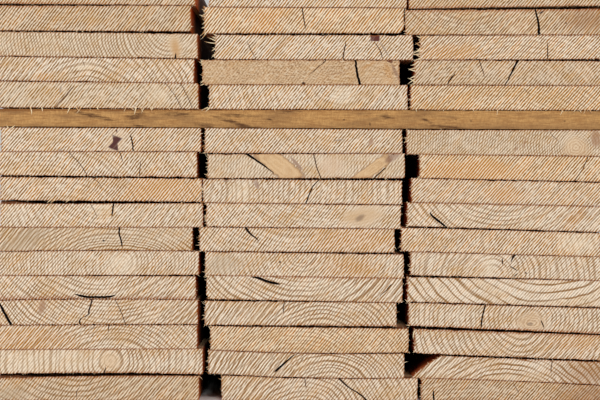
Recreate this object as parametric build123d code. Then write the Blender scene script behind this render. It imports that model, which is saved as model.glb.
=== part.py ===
from build123d import *
import math
import os
from typing import NamedTuple

# A stack of rough sawn boards: three columns side by side, sixteen courses high, with a layer of spacer sticks
# across all three columns over the eleventh course. X runs along the sawn ends, Y along the boards and Z up.
# The origin is on the floor, under the middle of the stack. The near end, at the lowest Y, shows the boards' ends.

# Boards, as they are ordered from the mill
BOARD_LENGTH = 2400.0
BOARD_WIDTH = 198.0
BOARD_THICKNESS = 24.2

# How the boards lie
COLUMN_GAP = 8.5
SEAT = 0.4
COURSES_UNDER_STICKS = 11

# The near ends are nearly flush and the far ends a little less so: each steps back by 0 to 3 or 0 to 4 of these
NEAR_STEP = 0.7
FAR_STEP = 2.0

# Spacer sticks
STICK_LENGTH = 640.0
STICK_DEPTH = 45.0
STICK_THICKNESS_LEFT = 18.1
STICK_THICKNESS_RIGHT = 19.2
STICK_SETBACK = 1.5
STICK_COUNT = 5

# The round of the log, where a board still has some of it along an edge
LOG_RADIUS = 102.0


class Wane(NamedTuple):
    """A corner of the section that the round of the log takes away."""

    side: str
    edge: str
    run: float
    drop: float


class Board(NamedTuple):
    """One board's own differences from the ordered size, and the joint over it, seen from the near end."""

    shift: float
    wider: float
    thicker_left: float
    thicker_right: float
    opening: float
    crown: float = 0.0
    wane: Wane | None = None


# One line for each board, from the floor up. Shift is how far its left edge lies right of its column's line. The
# opening is how much more the joint over it gapes at the right edge, or at the left edge where it is negative, and
# the crown is how far that joint bows up in mid width. On the last board under the sticks it is the joint over them.
LEFT_COLUMN = (
    Board(-0.5, 2.2, -1.6, 1.6, -3.4, 0.9),
    Board(-0.5, 6.0, 0.0, 1.2, -0.3),
    Board(-1.0, 1.1, 0.0, -0.4, 0.5),
    Board(-1.0, 1.7, 0.2, -0.5, 0.3, 1.0),
    Board(-3.0, 1.5, 0.2, -0.9, 1.0),
    Board(-0.5, 2.2, -1.3, -0.5, -0.8, 0.9),
    Board(-5.0, 0.3, -0.4, -1.0, 0.2),
    Board(1.3, 4.6, -1.0, 0.0, -3.4),
    Board(1.0, 3.7, -1.2, 0.4, -1.5),
    Board(-1.5, 1.4, -1.0, 1.2, 0.3),
    Board(1.9, 2.0, -0.3, -0.9, -0.8),
    Board(-0.5, 1.8, 1.4, 1.0, -0.8),
    Board(-4.0, 1.2, 0.1, -0.2, 0.3),
    Board(-1.0, 1.4, 0.6, 0.7, 1.6),
    Board(-6.0, 0.0, 1.3, 1.8, -0.6),
    Board(-3.0, 1.1, 0.2, 0.7, 0.0),
)
MIDDLE_COLUMN = (
    Board(16.0, -2.0, 2.0, -1.9, -1.0, -2.0),
    Board(3.0, -2.4, -1.3, -0.1, 0.8, -2.0),
    Board(5.0, 0.0, -0.1, 0.5, 1.0),
    Board(-0.8, -6.1, 0.0, -0.6, -1.8),
    Board(0.9, -1.7, -0.8, -0.2, 0.1, wane=Wane("left", "bottom", 3.2, 3.4)),
    Board(-0.1, 0.4, -0.7, -0.4, 0.9),
    Board(-6.1, -2.8, -0.3, -0.5, -0.5),
    Board(0.7, -3.3, -0.8, -0.9, 0.8),
    Board(-2.3, 1.0, -0.4, -0.1, 1.9),
    Board(2.4, -1.2, 0.2, 0.0, -0.9),
    Board(-0.5, -0.8, 0.5, -0.3, 0.0),
    Board(3.5, 0.5, -0.9, 0.2, -0.7),
    Board(-3.3, -0.6, 0.3, 0.3, -0.3, wane=Wane("left", "bottom", 3.0, 3.0)),
    Board(9.7, -0.2, 0.8, 0.4, 1.8),
    Board(-1.1, 1.7, 2.1, 0.8, -0.5, wane=Wane("right", "bottom", 4.5, 4.9)),
    Board(3.4, -0.3, 0.3, 1.3, 0.0),
)
RIGHT_COLUMN = (
    Board(9.5, 0.0, -1.7, -9.8, 0.6, 0.8),
    Board(0.4, 1.0, -1.3, -0.7, -1.5, wane=Wane("left", "top", 29.6, 22.3)),
    Board(2.3, 0.0, 0.5, 2.2, -1.8),
    Board(-3.0, 1.0, -0.9, 2.0, -0.4),
    Board(-4.3, 0.5, 0.6, 2.6, -1.8),
    Board(-1.2, -0.5, -1.1, -1.5, 0.8),
    Board(-10.5, 1.0, 0.2, -0.6, 0.6),
    Board(-4.7, 0.0, -0.3, 0.4, 0.7),
    Board(-0.5, 2.0, 0.1, -1.1, 1.4),
    Board(8.0, 0.0, -0.9, 0.3, 0.6),
    Board(-5.1, -1.0, 0.0, 1.8, 0.0),
    Board(-1.1, 1.5, -0.9, 0.0, -1.2),
    Board(2.6, 0.0, 0.4, 1.0, 0.7),
    Board(8.4, -0.5, -0.9, 0.1, -1.4),
    Board(-6.6, 1.0, 0.9, 1.9, 2.4),
    Board(-3.1, 0.5, 0.6, -0.6, 0.0),
)
COLUMNS = {"left": LEFT_COLUMN, "middle": MIDDLE_COLUMN, "right": RIGHT_COLUMN}

COLUMN_PITCH = BOARD_WIDTH + COLUMN_GAP
STACK_WIDTH = (len(COLUMNS) - 1) * COLUMN_PITCH + BOARD_WIDTH
COLUMN_LINES = [place * COLUMN_PITCH - STACK_WIDTH / 2 for place in range(len(COLUMNS))]


class Line2(NamedTuple):
    """A board's face seen end on: its heights at the column's two lines, and its bow up in mid width."""

    left: float
    right: float
    crown: float = 0.0

    def height(self, x, column_line):
        """The height at x, on a straight line between the two heights plus a parabola of the crown's height."""
        share = (x - column_line) / BOARD_WIDTH
        return self.left + (self.right - self.left) * share + self.crown * 4 * share * (1 - share)


def seat_over(face, opening):
    """The face of what lies on a face: a seat's gap above it, and an opening more at one of its ends."""
    return Line2(face.left + SEAT + max(0.0, -opening), face.right + SEAT + max(0.0, opening), face.crown)


def lay_up(boards, bed):
    """Lay boards on a bed, one on the other, and return each one's lower and upper face, from the bottom up."""
    faces = []
    for board in boards:
        upper = Line2(
            bed.left + BOARD_THICKNESS + board.thicker_left,
            bed.right + BOARD_THICKNESS + board.thicker_right,
            board.crown,
        )
        faces.append((bed, upper))
        bed = seat_over(upper, board.opening)
    return faces


def edges_of(board, column_line):
    """A board's left and right edges."""
    left = column_line + board.shift
    return left, left + BOARD_WIDTH + board.wider


def stick_bed(lower_columns):
    """Return the height of the sticks' underside as a function of x.

    It is parallel to the line over the right corners of the two outer columns, and high enough to clear every
    corner under it by a seat's gap.
    """
    corners = []
    for boards, faces, column_line in lower_columns:
        top = faces[-1][1]
        corners.append([(x, top.height(x, column_line)) for x in edges_of(boards[-1], column_line)])
    (x_start, z_start), (x_end, z_end) = corners[0][1], corners[-1][1]
    slope = (z_end - z_start) / (x_end - x_start)
    clear = max(z - slope * x for pair in corners for x, z in pair) + SEAT
    return lambda x: clear + slope * x


def stick_thickness(x):
    """The sticks grow a little thicker to the right."""
    share = x / STICK_LENGTH + 0.5
    return STICK_THICKNESS_LEFT + (STICK_THICKNESS_RIGHT - STICK_THICKNESS_LEFT) * share


def log_arc(start, end):
    """The log's round from one point of a section to the next, bulging to the right of the way there."""
    chord = end - start
    sagitta = LOG_RADIUS - math.sqrt(LOG_RADIUS**2 - (chord.length / 2) ** 2)
    outward = chord.normalized().cross(Vector(0, -1, 0))
    return ThreePointArc(start, (start + end) / 2 + outward * sagitta, end)


def board_section(board, column_line, lower, upper, y):
    """A board's end at y: its two faces, bowed where the joints are, its sawn edges, and the log's round."""
    left, right = edges_of(board, column_line)

    def point(x, face, rise=0.0):
        return Vector(x, y, face.height(x, column_line) + rise)

    # Each corner, anticlockwise from the lower left, is the point where its first edge ends and its next begins
    corners = {
        ("left", "bottom"): [point(left, lower)] * 2,
        ("right", "bottom"): [point(right, lower)] * 2,
        ("right", "top"): [point(right, upper)] * 2,
        ("left", "top"): [point(left, upper)] * 2,
    }
    if board.wane:
        side, edge, run, drop = board.wane
        face = upper if edge == "top" else lower
        on_side = point(left if side == "left" else right, face, -drop if edge == "top" else drop)
        on_face = point(left + run if side == "left" else right - run, face)
        first_is_side = (side == "left") == (edge == "bottom")
        corners[side, edge] = [on_side, on_face] if first_is_side else [on_face, on_side]

    def face_edge(start, end, face):
        if face.crown == 0:
            return Line(start, end)
        return ThreePointArc(start, point((start.X + end.X) / 2, face), end)

    lower_left, lower_right, upper_right, upper_left = corners.values()
    outline = [
        face_edge(lower_left[1], lower_right[0], lower),
        Line(lower_right[1], upper_right[0]),
        face_edge(upper_right[1], upper_left[0], upper),
        Line(upper_left[1], lower_left[0]),
    ]
    outline += [log_arc(*corner) for corner in corners.values() if corner[0] != corner[1]]
    return Face(Wire(outline))


def make_board(board, place, course, lower, upper):
    """A board: its section carried along its length, from its near end's step to its far end's."""
    near_end = -BOARD_LENGTH / 2 + NEAR_STEP * ((3 * course + 2 * place) % 4)
    far_end = BOARD_LENGTH / 2 - FAR_STEP * ((2 * course + 3 * place) % 5)
    section = board_section(board, COLUMN_LINES[place], lower, upper, near_end)
    return Solid.extrude(section, Vector(0, far_end - near_end, 0))


def make_stick(bed, y):
    """A spacer stick across the stack, with its near face at y."""
    ends = (-STICK_LENGTH / 2, STICK_LENGTH / 2)
    under = [Vector(x, y, bed(x)) for x in ends]
    over = [Vector(x, y, bed(x) + stick_thickness(x)) for x in reversed(ends)]
    section = Face(Wire(Polyline(*under, *over, close=True)))
    return Solid.extrude(section, Vector(0, STICK_DEPTH, 0))


def write(shape, name):
    """Name a piece and write it out."""
    shape.label = name
    export_step(shape, f"parts/{name}.step")


os.makedirs("parts", exist_ok=True)

floor = Line2(0.0, 0.0)
lower_columns = []
for boards, column_line in zip(COLUMNS.values(), COLUMN_LINES):
    under_sticks = boards[:COURSES_UNDER_STICKS]
    lower_columns.append((under_sticks, lay_up(under_sticks, floor), column_line))
bed = stick_bed(lower_columns)

for place, (column, boards) in enumerate(COLUMNS.items()):
    column_line = COLUMN_LINES[place]
    sticks_top = Line2(*(bed(x) + stick_thickness(x) for x in (column_line, column_line + BOARD_WIDTH)))
    over_sticks = boards[COURSES_UNDER_STICKS:]
    upper_bed = seat_over(sticks_top, boards[COURSES_UNDER_STICKS - 1].opening)
    faces = lower_columns[place][1] + lay_up(over_sticks, upper_bed)
    for course, (board, (lower, upper)) in enumerate(zip(boards, faces), start=1):
        write(make_board(board, place, course, lower, upper), f"board_{column}_{course:02d}")

first_stick = -BOARD_LENGTH / 2 + STICK_SETBACK
last_stick = BOARD_LENGTH / 2 - STICK_SETBACK - STICK_DEPTH
for number in range(STICK_COUNT):
    y = first_stick + (last_stick - first_stick) * number / (STICK_COUNT - 1)
    write(make_stick(bed, y), f"spacer_stick_{number + 1}")
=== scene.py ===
"""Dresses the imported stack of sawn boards: torn ends, cracks, splinters, wood finishes and a pale stage."""

import math
from typing import NamedTuple

import bpy
import numpy as np
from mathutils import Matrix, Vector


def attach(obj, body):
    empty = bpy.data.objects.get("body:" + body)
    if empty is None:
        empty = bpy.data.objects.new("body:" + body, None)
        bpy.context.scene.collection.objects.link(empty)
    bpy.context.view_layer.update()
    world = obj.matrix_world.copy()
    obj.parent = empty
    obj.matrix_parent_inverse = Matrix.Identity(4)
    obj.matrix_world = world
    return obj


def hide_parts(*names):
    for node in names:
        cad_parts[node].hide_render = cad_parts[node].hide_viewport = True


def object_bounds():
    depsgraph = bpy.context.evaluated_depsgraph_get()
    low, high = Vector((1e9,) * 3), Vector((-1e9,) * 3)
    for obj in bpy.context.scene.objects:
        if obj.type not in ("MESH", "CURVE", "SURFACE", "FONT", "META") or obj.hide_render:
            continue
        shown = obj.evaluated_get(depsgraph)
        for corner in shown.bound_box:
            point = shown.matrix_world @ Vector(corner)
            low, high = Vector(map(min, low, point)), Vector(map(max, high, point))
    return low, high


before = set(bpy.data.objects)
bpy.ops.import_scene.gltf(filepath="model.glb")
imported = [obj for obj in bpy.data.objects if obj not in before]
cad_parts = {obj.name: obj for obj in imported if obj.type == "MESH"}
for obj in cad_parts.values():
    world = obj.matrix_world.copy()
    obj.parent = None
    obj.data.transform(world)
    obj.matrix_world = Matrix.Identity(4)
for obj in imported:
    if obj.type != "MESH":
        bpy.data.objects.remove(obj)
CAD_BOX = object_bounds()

bl_info = {
    "name": "Stack of Sawn Boards",
    "version": (1, 0, 0),
    "blender": (4, 5, 0),
    "location": "View3D > Sidebar > Timber",
    "description": "Torn and cracked board ends, splinters, spacer sticks and sawn wood finishes",
    "category": "Add Mesh",
}

MM = 0.001
BOX = np.array([list(corner) for corner in CAD_BOX]) / MM

# The places in the tables below are in the photograph's pixels, which are millimetres on the near ends
PICTURE_LEFT = 305.5
PICTURE_TOP = 400.8


def on_end(x, y):
    """A place on the near ends, in millimetres right of the middle and above the floor."""
    return x - PICTURE_LEFT, PICTURE_TOP - y


def linear(colour):
    """A colour written as screen values from 0 to 255, as the linear values that a shader takes."""
    screen = np.array(colour[:3], float) / 255
    low, high = screen / 12.92, ((screen + 0.055) / 1.055) ** 2.4
    return (*np.where(screen <= 0.04045, low, high).tolist(), 1.0)


# What each board's end looks like


class Crack(NamedTuple):
    """An open crack or a dark line in a board's end: its course, its width in mm and how dark it is, up to 1.

    A taper of 1 thins it towards the end of its course, and one of -1 towards the start.
    """

    course: tuple
    width: float = 0.9
    dark: float = 1.0
    taper: float = 0.0


class Mark(NamedTuple):
    """A knot, stain, spot or patch of painted shade on an end: its middle, half sizes along and across, and
    lean in degrees.
    """

    kind: str
    x: float
    y: float
    long: float
    wide: float
    lean: float = 0.0


class Look(NamedTuple):
    """One board's end: its wood, its rings' heart, spacing and strength, and its saw lines' strength.

    The joint is how the mouth of the joint below it gapes at its left and right, in mm, or, down to -1,
    how far it is pressed shut.
    """

    wood: str
    heart: tuple
    spacing: float
    rings: float
    lines: float
    cracks: tuple
    marks: tuple
    wavy: float
    joint: tuple


# Pale wood, and the saw lines' painted shade: its brown, and the orange of its richer streaks
WOODS = {
    "cream": ((252, 238, 217), (132, 85, 0), (172, 110, 0)),
    "dull": ((240, 221, 195), (124, 79, 0), (163, 103, 0)),
    "grey": ((242, 225, 201), (128, 86, 12), (162, 106, 6)),
    "gold": ((252, 238, 216), (138, 86, 0), (180, 114, 0)),
    "orange": ((252, 235, 207), (142, 88, 0), (184, 114, 0)),
    "tan": ((222, 192, 156), (134, 92, 48), (172, 114, 50)),
}


class Kind(NamedTuple):
    """How a kind of mark looks: colour, strength, softness, how far it calms saw lines, and outline."""

    colour: tuple
    strength: float
    softness: float
    calm: float
    outline: float = 0.0
    shape: str = "round"


KINDS = {
    "knot": Kind((208, 168, 122), 0.66, 0.45, 0.5, 0.06),
    "band": Kind((216, 176, 126), 0.85, 0.08, 0.9, 0.5, "box"),
    "brown": Kind((150, 100, 60), 0.7, 0.4, 0.6),
    "bruise": Kind((84, 46, 44), 1.0, 0.15, 1.0, 0.0, "hourglass"),
    "bruised": Kind((142, 104, 84), 0.75, 0.3, 0.8),
    "blot": Kind((92, 44, 40), 1.0, 0.14, 1.0, 0.0, "box"),
    "ochre": Kind((190, 130, 58), 0.4, 0.7, -0.1),
    "burl": Kind((200, 160, 112), 0.7, 0.6, 0.85),
    # painted shade, for the darker right edge of the ends
    "painted_shade": Kind((158, 112, 76), 0.5, 0.8, -0.2),
    "halo": Kind((206, 162, 112), 0.4, 0.7, 0.4),
    "pale": Kind((228, 202, 164), 0.2, 0.7, 0.3),
    "grey": Kind((172, 148, 118), 0.42, 0.6, 0.2),
    "amber": Kind((196, 134, 66), 0.14, 0.7, -0.25),
    "pink": Kind((206, 168, 134), 0.5, 0.6, 0.5),
    "stain": Kind((104, 68, 38), 0.75, 0.4, 0.0),
    "spot": Kind((40, 20, 12), 1.0, 0.35, 1.0),
    "smudge": Kind((116, 90, 74), 0.6, 0.5, 0.5),
}


def crack(*places, width=0.9, dark=1.0, taper=0.0):
    """A crack through the places that are given as x, y, x, y and so on. A dark one opens further."""
    return Crack(tuple(zip(places[::2], places[1::2])), width * (1.35 if dark > 0.8 else 1.0), dark, taper)


def board(wood, heart, spacing=4.5, rings=0.2, lines=1.0, *details, wavy=1.0, joint=(-0.4, -0.4)):
    """A board's look, with its cracks and marks given one after another."""
    cracks = tuple(one for one in details if isinstance(one, Crack))
    marks = tuple(one for one in details if isinstance(one, Mark))
    return Look(wood, heart, spacing, rings, lines, cracks, marks, wavy, joint)


# From the top course down, as the photograph shows them
LEFT_LOOKS = (
    board("dull", (90, -120), joint=(2.2, -0.4)),
    board("dull", (60, -60), 4.0, 0.25, 1.01, joint=(0.8, 0.6)),
    board("grey", (172, 25), 3.2, 0.6, 0.77, crack(177, 54, 176.4, 59, width=1.2),
          Mark("burl", 176, 47, 11, 5.5, 100), Mark("ochre", 177, 50, 8, 3.0, 100), joint=(0.1, 0.2)),
    board("cream", (88, 124), 6.4, 0.5, 0.95, crack(84, 60, 86, 66, width=0.7, dark=0.5),
          Mark("amber", 44, 77, 7, 4), Mark("pale", 86, 66, 9, 4), joint=(-0.3, -0.6)),
    board("grey", (95, 150), 6.5, 0.22, 0.86, crack(75, 87, 68, 95, 57, 107, width=1.8, dark=0.5),
          crack(167, 84, 176, 95, 182, 108, width=0.6, dark=0.5),
          crack(182, 84, 188, 95, 193, 108, width=0.6, dark=0.45), Mark("smudge", 61.5, 89.5, 3.4, 0.9, 80),
          Mark("pale", 160, 96, 9, 9, 60), joint=(-0.5, -0.5)),
    board("cream", (40, 50), 4.5, 0.2, 0.98, crack(131.4, 135, 133, 143, 134, 152, dark=0.9),
          Mark("halo", 116, 143, 13, 8, 60), Mark("bruise", 116.2, 142.8, 6.8, 5.0, 70),
          Mark("blot", 117.6, 131, 1.6, 0.8, 100), Mark("smudge", 61, 150, 2.4, 1.2), joint=(-0.9, -0.4)),
    board("cream", (40, 250), 5.5, 0.28, 0.98, crack(68, 151, 81.6, 165, 88, 175, width=0.7, dark=0.6),
          crack(120, 151, 122, 156, 123, 161, width=0.8, dark=0.8),
          crack(141, 163, 140.4, 170, 140, 177, width=0.7, dark=0.6), joint=(0.1, 1.6)),
    board("gold", (60, 260), 4.5, 0.25, 1.01, crack(93, 177, 97, 180, 101, 185, width=0.7, dark=0.6),
          Mark("amber", 165, 190, 40, 11), joint=(0.0, 1.4)),
    board("cream", (102, 178), 5.0, 0.3, 0.92, crack(91, 203, 94.5, 208, 98, 216, width=0.6, dark=0.5),
          crack(114.8, 202, 114.4, 208, 113, 216, width=1.0), Mark("pale", 102, 208, 11, 8),
          joint=(-0.4, -0.9)),
    board("grey", (118, 330), 3.6, 0.78, 0.86, crack(120.5, 226, 120.2, 235, 122, 240, 123.8, 247, width=1.0),
          Mark("grey", 26, 240, 24, 9, 30), Mark("spot", 104.6, 240.8, 1.2, 0.9), joint=(-0.6, -0.2)),
    board("cream", (124, 262), 3.4, 0.42, 0.92, Mark("pale", 124, 264, 15, 10), joint=(-0.8, 0.1)),
    board("cream", (100, 205), 5.2, 0.55, 0.95,
          crack(76, 294.6, 89, 297.2, 101, 298.6, 110, 297.4, 117, 295, width=1.5), joint=(-0.2, -0.7)),
    board("cream", (112, 225), 3.9, 0.65, 0.92, crack(0.2, 303, 5, 312, 12, 325, width=2.0),
          crack(93, 301, 90.4, 309, 89.4, 315, 80, 319.5, 80, 325, width=1.1, dark=0.85),
          crack(116.6, 301, 121, 309, 123, 315, 125.8, 325, width=0.6, dark=0.7),
          Mark("brown", 43, 307, 7, 3.4, 75), joint=(0.0, 0.0)),
    board("cream", (112, 405), 4.6, 0.55, 0.95, crack(109.6, 325, 109.3, 331, width=0.8, dark=0.8),
          Mark("amber", 30, 340, 40, 12), Mark("smudge", 93.5, 328, 2.4, 0.7), joint=(-1.0, -0.9)),
    board("cream", (111, 361), 5.4, 0.65, 0.95, crack(106.5, 368, 104.4, 375, dark=0.9),
          Mark("halo", 111, 361, 8, 6.5), Mark("pale", 50, 362, 60, 14), joint=(0.9, 3.2)),
    board("dull", (75, 300), 6.0, 0.55, 0.92, crack(80, 387, 76.6, 392, 76.4, 398, width=0.6, dark=0.6),
          Mark("grey", 12, 394, 16, 7), joint=(0.0, 0.0)),
)
MIDDLE_LOOKS = (
    board("cream", (300, -60), joint=(-0.8, -0.4)),
    board("orange", (330, -40), 4.5, 0.18, 1.01, crack(303, 7, 304, 15, 306.5, 27, dark=0.8),
          Mark("amber", 265, 22, 16, 11, 50), joint=(1.2, 0.2)),
    board("cream", (350, 150), 4.2, 0.2, 0.98, crack(248, 42, 252, 50, 257, 58, width=0.6, dark=0.5),
          crack(347, 43, 345, 52, 344, 60, width=1.0, dark=0.78),
          crack(376, 43, 381, 50, 384, 58, width=0.8, dark=0.7), Mark("ochre", 281, 47, 16, 1.6, 44),
          Mark("blot", 376, 38.0, 4.8, 3.2), Mark("smudge", 386, 50, 9, 0.8, -58), joint=(-0.2, -0.2)),
    board("tan", (345, -10), 3.0, 0.25, 0.5, crack(327, 61, 318, 68, 310, 74, width=0.8, dark=0.6),
          crack(356.5, 59, 357.6, 71, 361, 85, width=1.7, taper=-0.3), Mark("halo", 388, 72, 12, 7, 90),
          Mark("spot", 304.5, 83.4, 1.8, 1.4), Mark("blot", 391, 61, 3.0, 1.5, -20),
          Mark("bruised", 396.5, 72, 9, 1.6, -66), Mark("ochre", 389, 72, 10, 2.6, -72),
          Mark("spot", 325, 62, 1.6, 0.6, 40), Mark("brown", 318, 68, 5, 0.6, 34),
          Mark("brown", 340, 73, 9, 0.6, 10), Mark("brown", 332, 79, 7, 0.5, 24),
          Mark("ochre", 368, 66, 8, 1.6, 26), wavy=3.0, joint=(-0.8, -0.6)),
    board("cream", (343, 70), 5.0, 0.28, 0.95, Mark("pale", 344, 94, 11, 11), joint=(-0.5, -0.5)),
    board("cream", (340, 96), 5.0, 0.22, 0.98, Mark("brown", 372, 142, 4, 2.0, 60),
          Mark("smudge", 340, 140, 5, 0.8, 10), joint=(0.6, -1.0)),
    board("grey", (150, 160), 3.1, 0.32, 0.66, crack(247, 153, 260, 162, 275, 173, width=3.2, taper=1.0),
          crack(314.8, 153, 318, 167.4, 322.4, 178, width=0.8, dark=0.8),
          crack(399.5, 162.4, 386, 168, 374.5, 178, width=1.2, dark=0.85),
          crack(396, 153, 390, 156.6, 387, 160.5, width=1.3, dark=0.9),
          Mark("band", 279.5, 165, 27, 9.4, -39), Mark("pink", 332, 166, 12, 9),
          Mark("band", 372, 170, 22, 5.4, 36), Mark("bruised", 394, 157, 9, 3.6, 32),
          Mark("bruised", 297, 163, 9, 1.6, -46), joint=(0.5, 0.5)),
    board("cream", (180, 190), 5.2, 0.42, 0.95,
          crack(321.8, 178, 317, 182.6, 314.4, 185, 310, 194, 306.5, 203, dark=0.9),
          Mark("bruised", 257.5, 184.5, 4.8, 2.2, -65), Mark("smudge", 227, 181, 3, 1.4),
          Mark("pale", 243, 190, 10, 10), joint=(-0.6, -0.4)),
    board("cream", (330, 120), 4.2, 0.28, 0.92, Mark("burl", 364, 216, 18, 9.5, 12),
          Mark("smudge", 361, 218, 5, 2.5, 30), joint=(-0.1, -0.6)),
    board("cream", (300, 120), 4.8, 0.28, 0.95, crack(245, 226, 251, 233.8, 259, 239.5, width=2.0, dark=0.9),
          Mark("amber", 358, 240, 38, 11), joint=(0.1, 0.5)),
    board("cream", (303, 252), 4.6, 0.42, 0.92, Mark("spot", 281, 262, 1.0, 0.8),
          Mark("grey", 225, 264, 18, 9), Mark("amber", 352, 268, 26, 9), joint=(-1.0, -1.0)),
    board("cream", (300, 210), 5.0, 0.7, 0.9,
          crack(252.6, 275, 260, 278.6, 268, 281.6, 280, 284.4, width=1.4),
          crack(398, 283, 389, 291.6, 382, 297, width=0.8, dark=0.85), joint=(-0.1, -0.5)),
    board("cream", (322, 372), 4.3, 0.65, 0.92, crack(286.8, 301, 283.6, 307, 285, 314, width=0.7, dark=0.8),
          joint=(0.9, 1.6)),
    board("orange", (295, 420), 4.4, 0.35, 1.01, crack(321, 328, 326, 332, width=0.6, dark=0.7),
          joint=(-0.9, -0.3)),
    board("cream", (328, 412), 3.9, 0.7, 0.92,
          crack(275.6, 372.4, 287.5, 361.4, 294, 355.4, 303, 353, width=2.8, taper=1.0), joint=(-0.1, 0.0)),
    board("cream", (303, 430), 4.8, 0.65, 0.92, crack(307, 379, 307.8, 389, width=0.8, dark=0.5),
          crack(341, 379.4, 349, 387, 358, 391.6, 367.5, 400, width=1.6, dark=0.9), joint=(0.0, 0.0)),
)
RIGHT_LOOKS = (
    board("dull", (510, -60), joint=(2.3, 1.8)),
    board("dull", (470, -40), 4.5, 0.35, 1.0,
          crack(536.6, 10.5, 538.2, 16.0, 539.9, 25.5, 540.3, 34.5, width=1.9, taper=-0.7),
          Mark("spot", 543, 12, 3.2, 0.8, 38), Mark("spot", 567, 23, 1.0, 0.8),
          Mark("painted_shade", 590, 20, 24, 10), joint=(-0.6, -0.5)),
    board("gold", (520, 200), 4.5, 0.35, 1.05, crack(548.6, 44, 548.9, 50, 549.2, 60, width=0.8, dark=0.75),
          Mark("amber", 452, 52, 26, 7), joint=(-0.4, 1.5)),
    board("dull", (470, 180), 4.2, 0.25, 0.92, crack(519.2, 60, 513, 71.4, 506, 86, width=1.9, taper=1.0),
          crack(480, 61, 482.5, 68, 485, 76, width=0.8, dark=0.6),
          crack(455, 74.5, 451, 79, 448.2, 86, width=1.6, taper=1.0), joint=(-0.8, -0.2)),
    board("orange", (500, 220), 4.4, 0.3, 1.15, crack(524, 88.5, 531, 94.5, width=0.6, dark=0.7),
          joint=(-0.5, -0.5)),
    board("grey", (577, 147.5), 2.6, 0.55, 0.85, crack(551, 132, 554, 136, 559, 140, width=0.6, dark=0.6),
          Mark("knot", 577, 147.5, 11.5, 10.5), Mark("brown", 525.6, 143, 5, 1.0, 75),
          Mark("brown", 517, 149, 3, 1.0, 40), Mark("brown", 597, 139, 5, 8), joint=(-1.0, -0.6)),
    board("orange", (600, 20), 4.0, 0.14, 1.07, crack(589, 158, 583.7, 170, 577, 181, width=0.7, dark=0.75),
          Mark("amber", 470, 171, 44, 9), joint=(-0.1, -0.4)),
    board("gold", (330, 60), 4.0, 0.25, 1.01, Mark("amber", 505, 194, 16, 8), joint=(-0.8, -1.0)),
    board("cream", (503, 139), 5.8, 0.5, 0.95, crack(431, 214, 438.3, 221.2, 448.4, 228.6, width=2.4),
          Mark("amber", 576, 219, 14, 5, 46), joint=(1.4, 0.2)),
    board("gold", (640, 238), 5.0, 0.25, 1.04, Mark("smudge", 446.6, 247, 1.4, 1.0),
          Mark("pale", 580, 243, 20, 10), wavy=2.2, joint=(0.1, -0.8)),
    board("cream", (492, 277), 5.4, 0.5, 0.88,
          crack(519.5, 253, 514.6, 256.6, 512.4, 262, width=2.4, dark=0.9, taper=0.8),
          crack(503.4, 260, 504, 264, width=1.3, dark=0.9), Mark("pale", 490, 268, 6, 12),
          Mark("spot", 527, 273, 1.3, 0.7, -30), Mark("spot", 515, 268.6, 4.4, 0.5, -32),
          Mark("spot", 516.8, 275, 2.8, 0.5, 40), joint=(0.0, -1.0)),
    board("cream", (548, 195), 8.0, 0.8, 0.8, joint=(0.0, 0.9)),
    board("cream", (532.6, 321), 4.6, 0.5, 0.92, crack(487, 303, 483, 317, 482, 327, width=1.0, dark=0.95),
          crack(542, 320, 545.2, 326, width=1.2, dark=0.9), Mark("knot", 532.6, 323, 15, 9),
          Mark("smudge", 531, 324, 3, 1.6), joint=(2.0, 2.2)),
    board("cream", (520, 318), 5.2, 0.6, 0.92, Mark("halo", 519, 334, 10, 4), Mark("amber", 575, 342, 28, 9),
          joint=(0.0, 1.7)),
    board("cream", (508, 447), 5.4, 0.8, 0.88, crack(553.8, 359, 552.8, 366, 551.8, 373, dark=0.7),
          Mark("brown", 524, 359.5, 1.6, 0.9, 90), Mark("painted_shade", 596, 374, 32, 12), joint=(-1.0, 0.0)),
    board("dull", (470, 560), 5.0, 0.3, 1.05, crack(434.5, 391.4, 434.8, 401, width=1.1),
          crack(514.8, 385.5, 520, 392.5, width=0.6, dark=0.7), Mark("painted_shade", 600, 396, 40, 12)),
)
# How steeply the saw lines rise on each column's ends, in degrees
SAW_SLOPES = {"left": 51.0, "middle": 51.0, "right": 48.0}
LOOKS = {"left": LEFT_LOOKS, "middle": MIDDLE_LOOKS, "right": RIGHT_LOOKS}
# How many courses there are, and how many of them lie under the sticks
COURSES = 16
COURSES_UNDER_STICKS = 11

# Where the random draws of each column and of the sticks start, and their steps from piece to piece
SEEDS = {"left": 1000, "middle": 2000, "right": 3000, "sticks": 4000}
BOARD_SEED_STEP, STICK_SEED_STEP = 13, 31

# How much of an open joint closes behind its mouth, where the boards lie on each other
JOINT_CLOSING = 0.95


# Sizes and colours that a user may change


def length_choice(name, description, millimetres):
    """A length that a user may change."""
    return bpy.props.FloatProperty(
        name=name, description=description, unit="LENGTH", default=millimetres * MM)


def colour_choice(name, description, screen):
    """A colour that a user may change, given in screen values."""
    return bpy.props.FloatVectorProperty(
        name=name, description=description, subtype="COLOR", size=4, default=linear(screen))


class StackSizes(bpy.types.PropertyGroup):
    """The sizes of the sawn boards' fine relief."""

    worn_edge: length_choice("Worn edge", "How far the sawn edges of an end are rounded off", 0.18)
    worn_arris: length_choice("Worn arris", "How far the long arrises are worn off", 0.35)
    torn_depth: length_choice("Torn depth", "How deep the saw tore an end's edges", 0.7)
    torn_length: length_choice("Torn length", "How far along the board the torn edge runs", 9.0)
    crack_depth: length_choice("Crack depth", "How deep the open cracks are", 5.0)
    saw_pitch: length_choice("Saw pitch", "Distance of the saw lines, level across an end", 3.2)
    splinter_length: length_choice("Splinter length", "Length of a long splinter", 5.0)
    splinters: bpy.props.IntProperty(
        name="Splinters", description="Splinters on each board's near end", default=160, min=0)
    rough_face: length_choice("Rough face", "How much the long sawn faces wander", 0.25)


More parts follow.
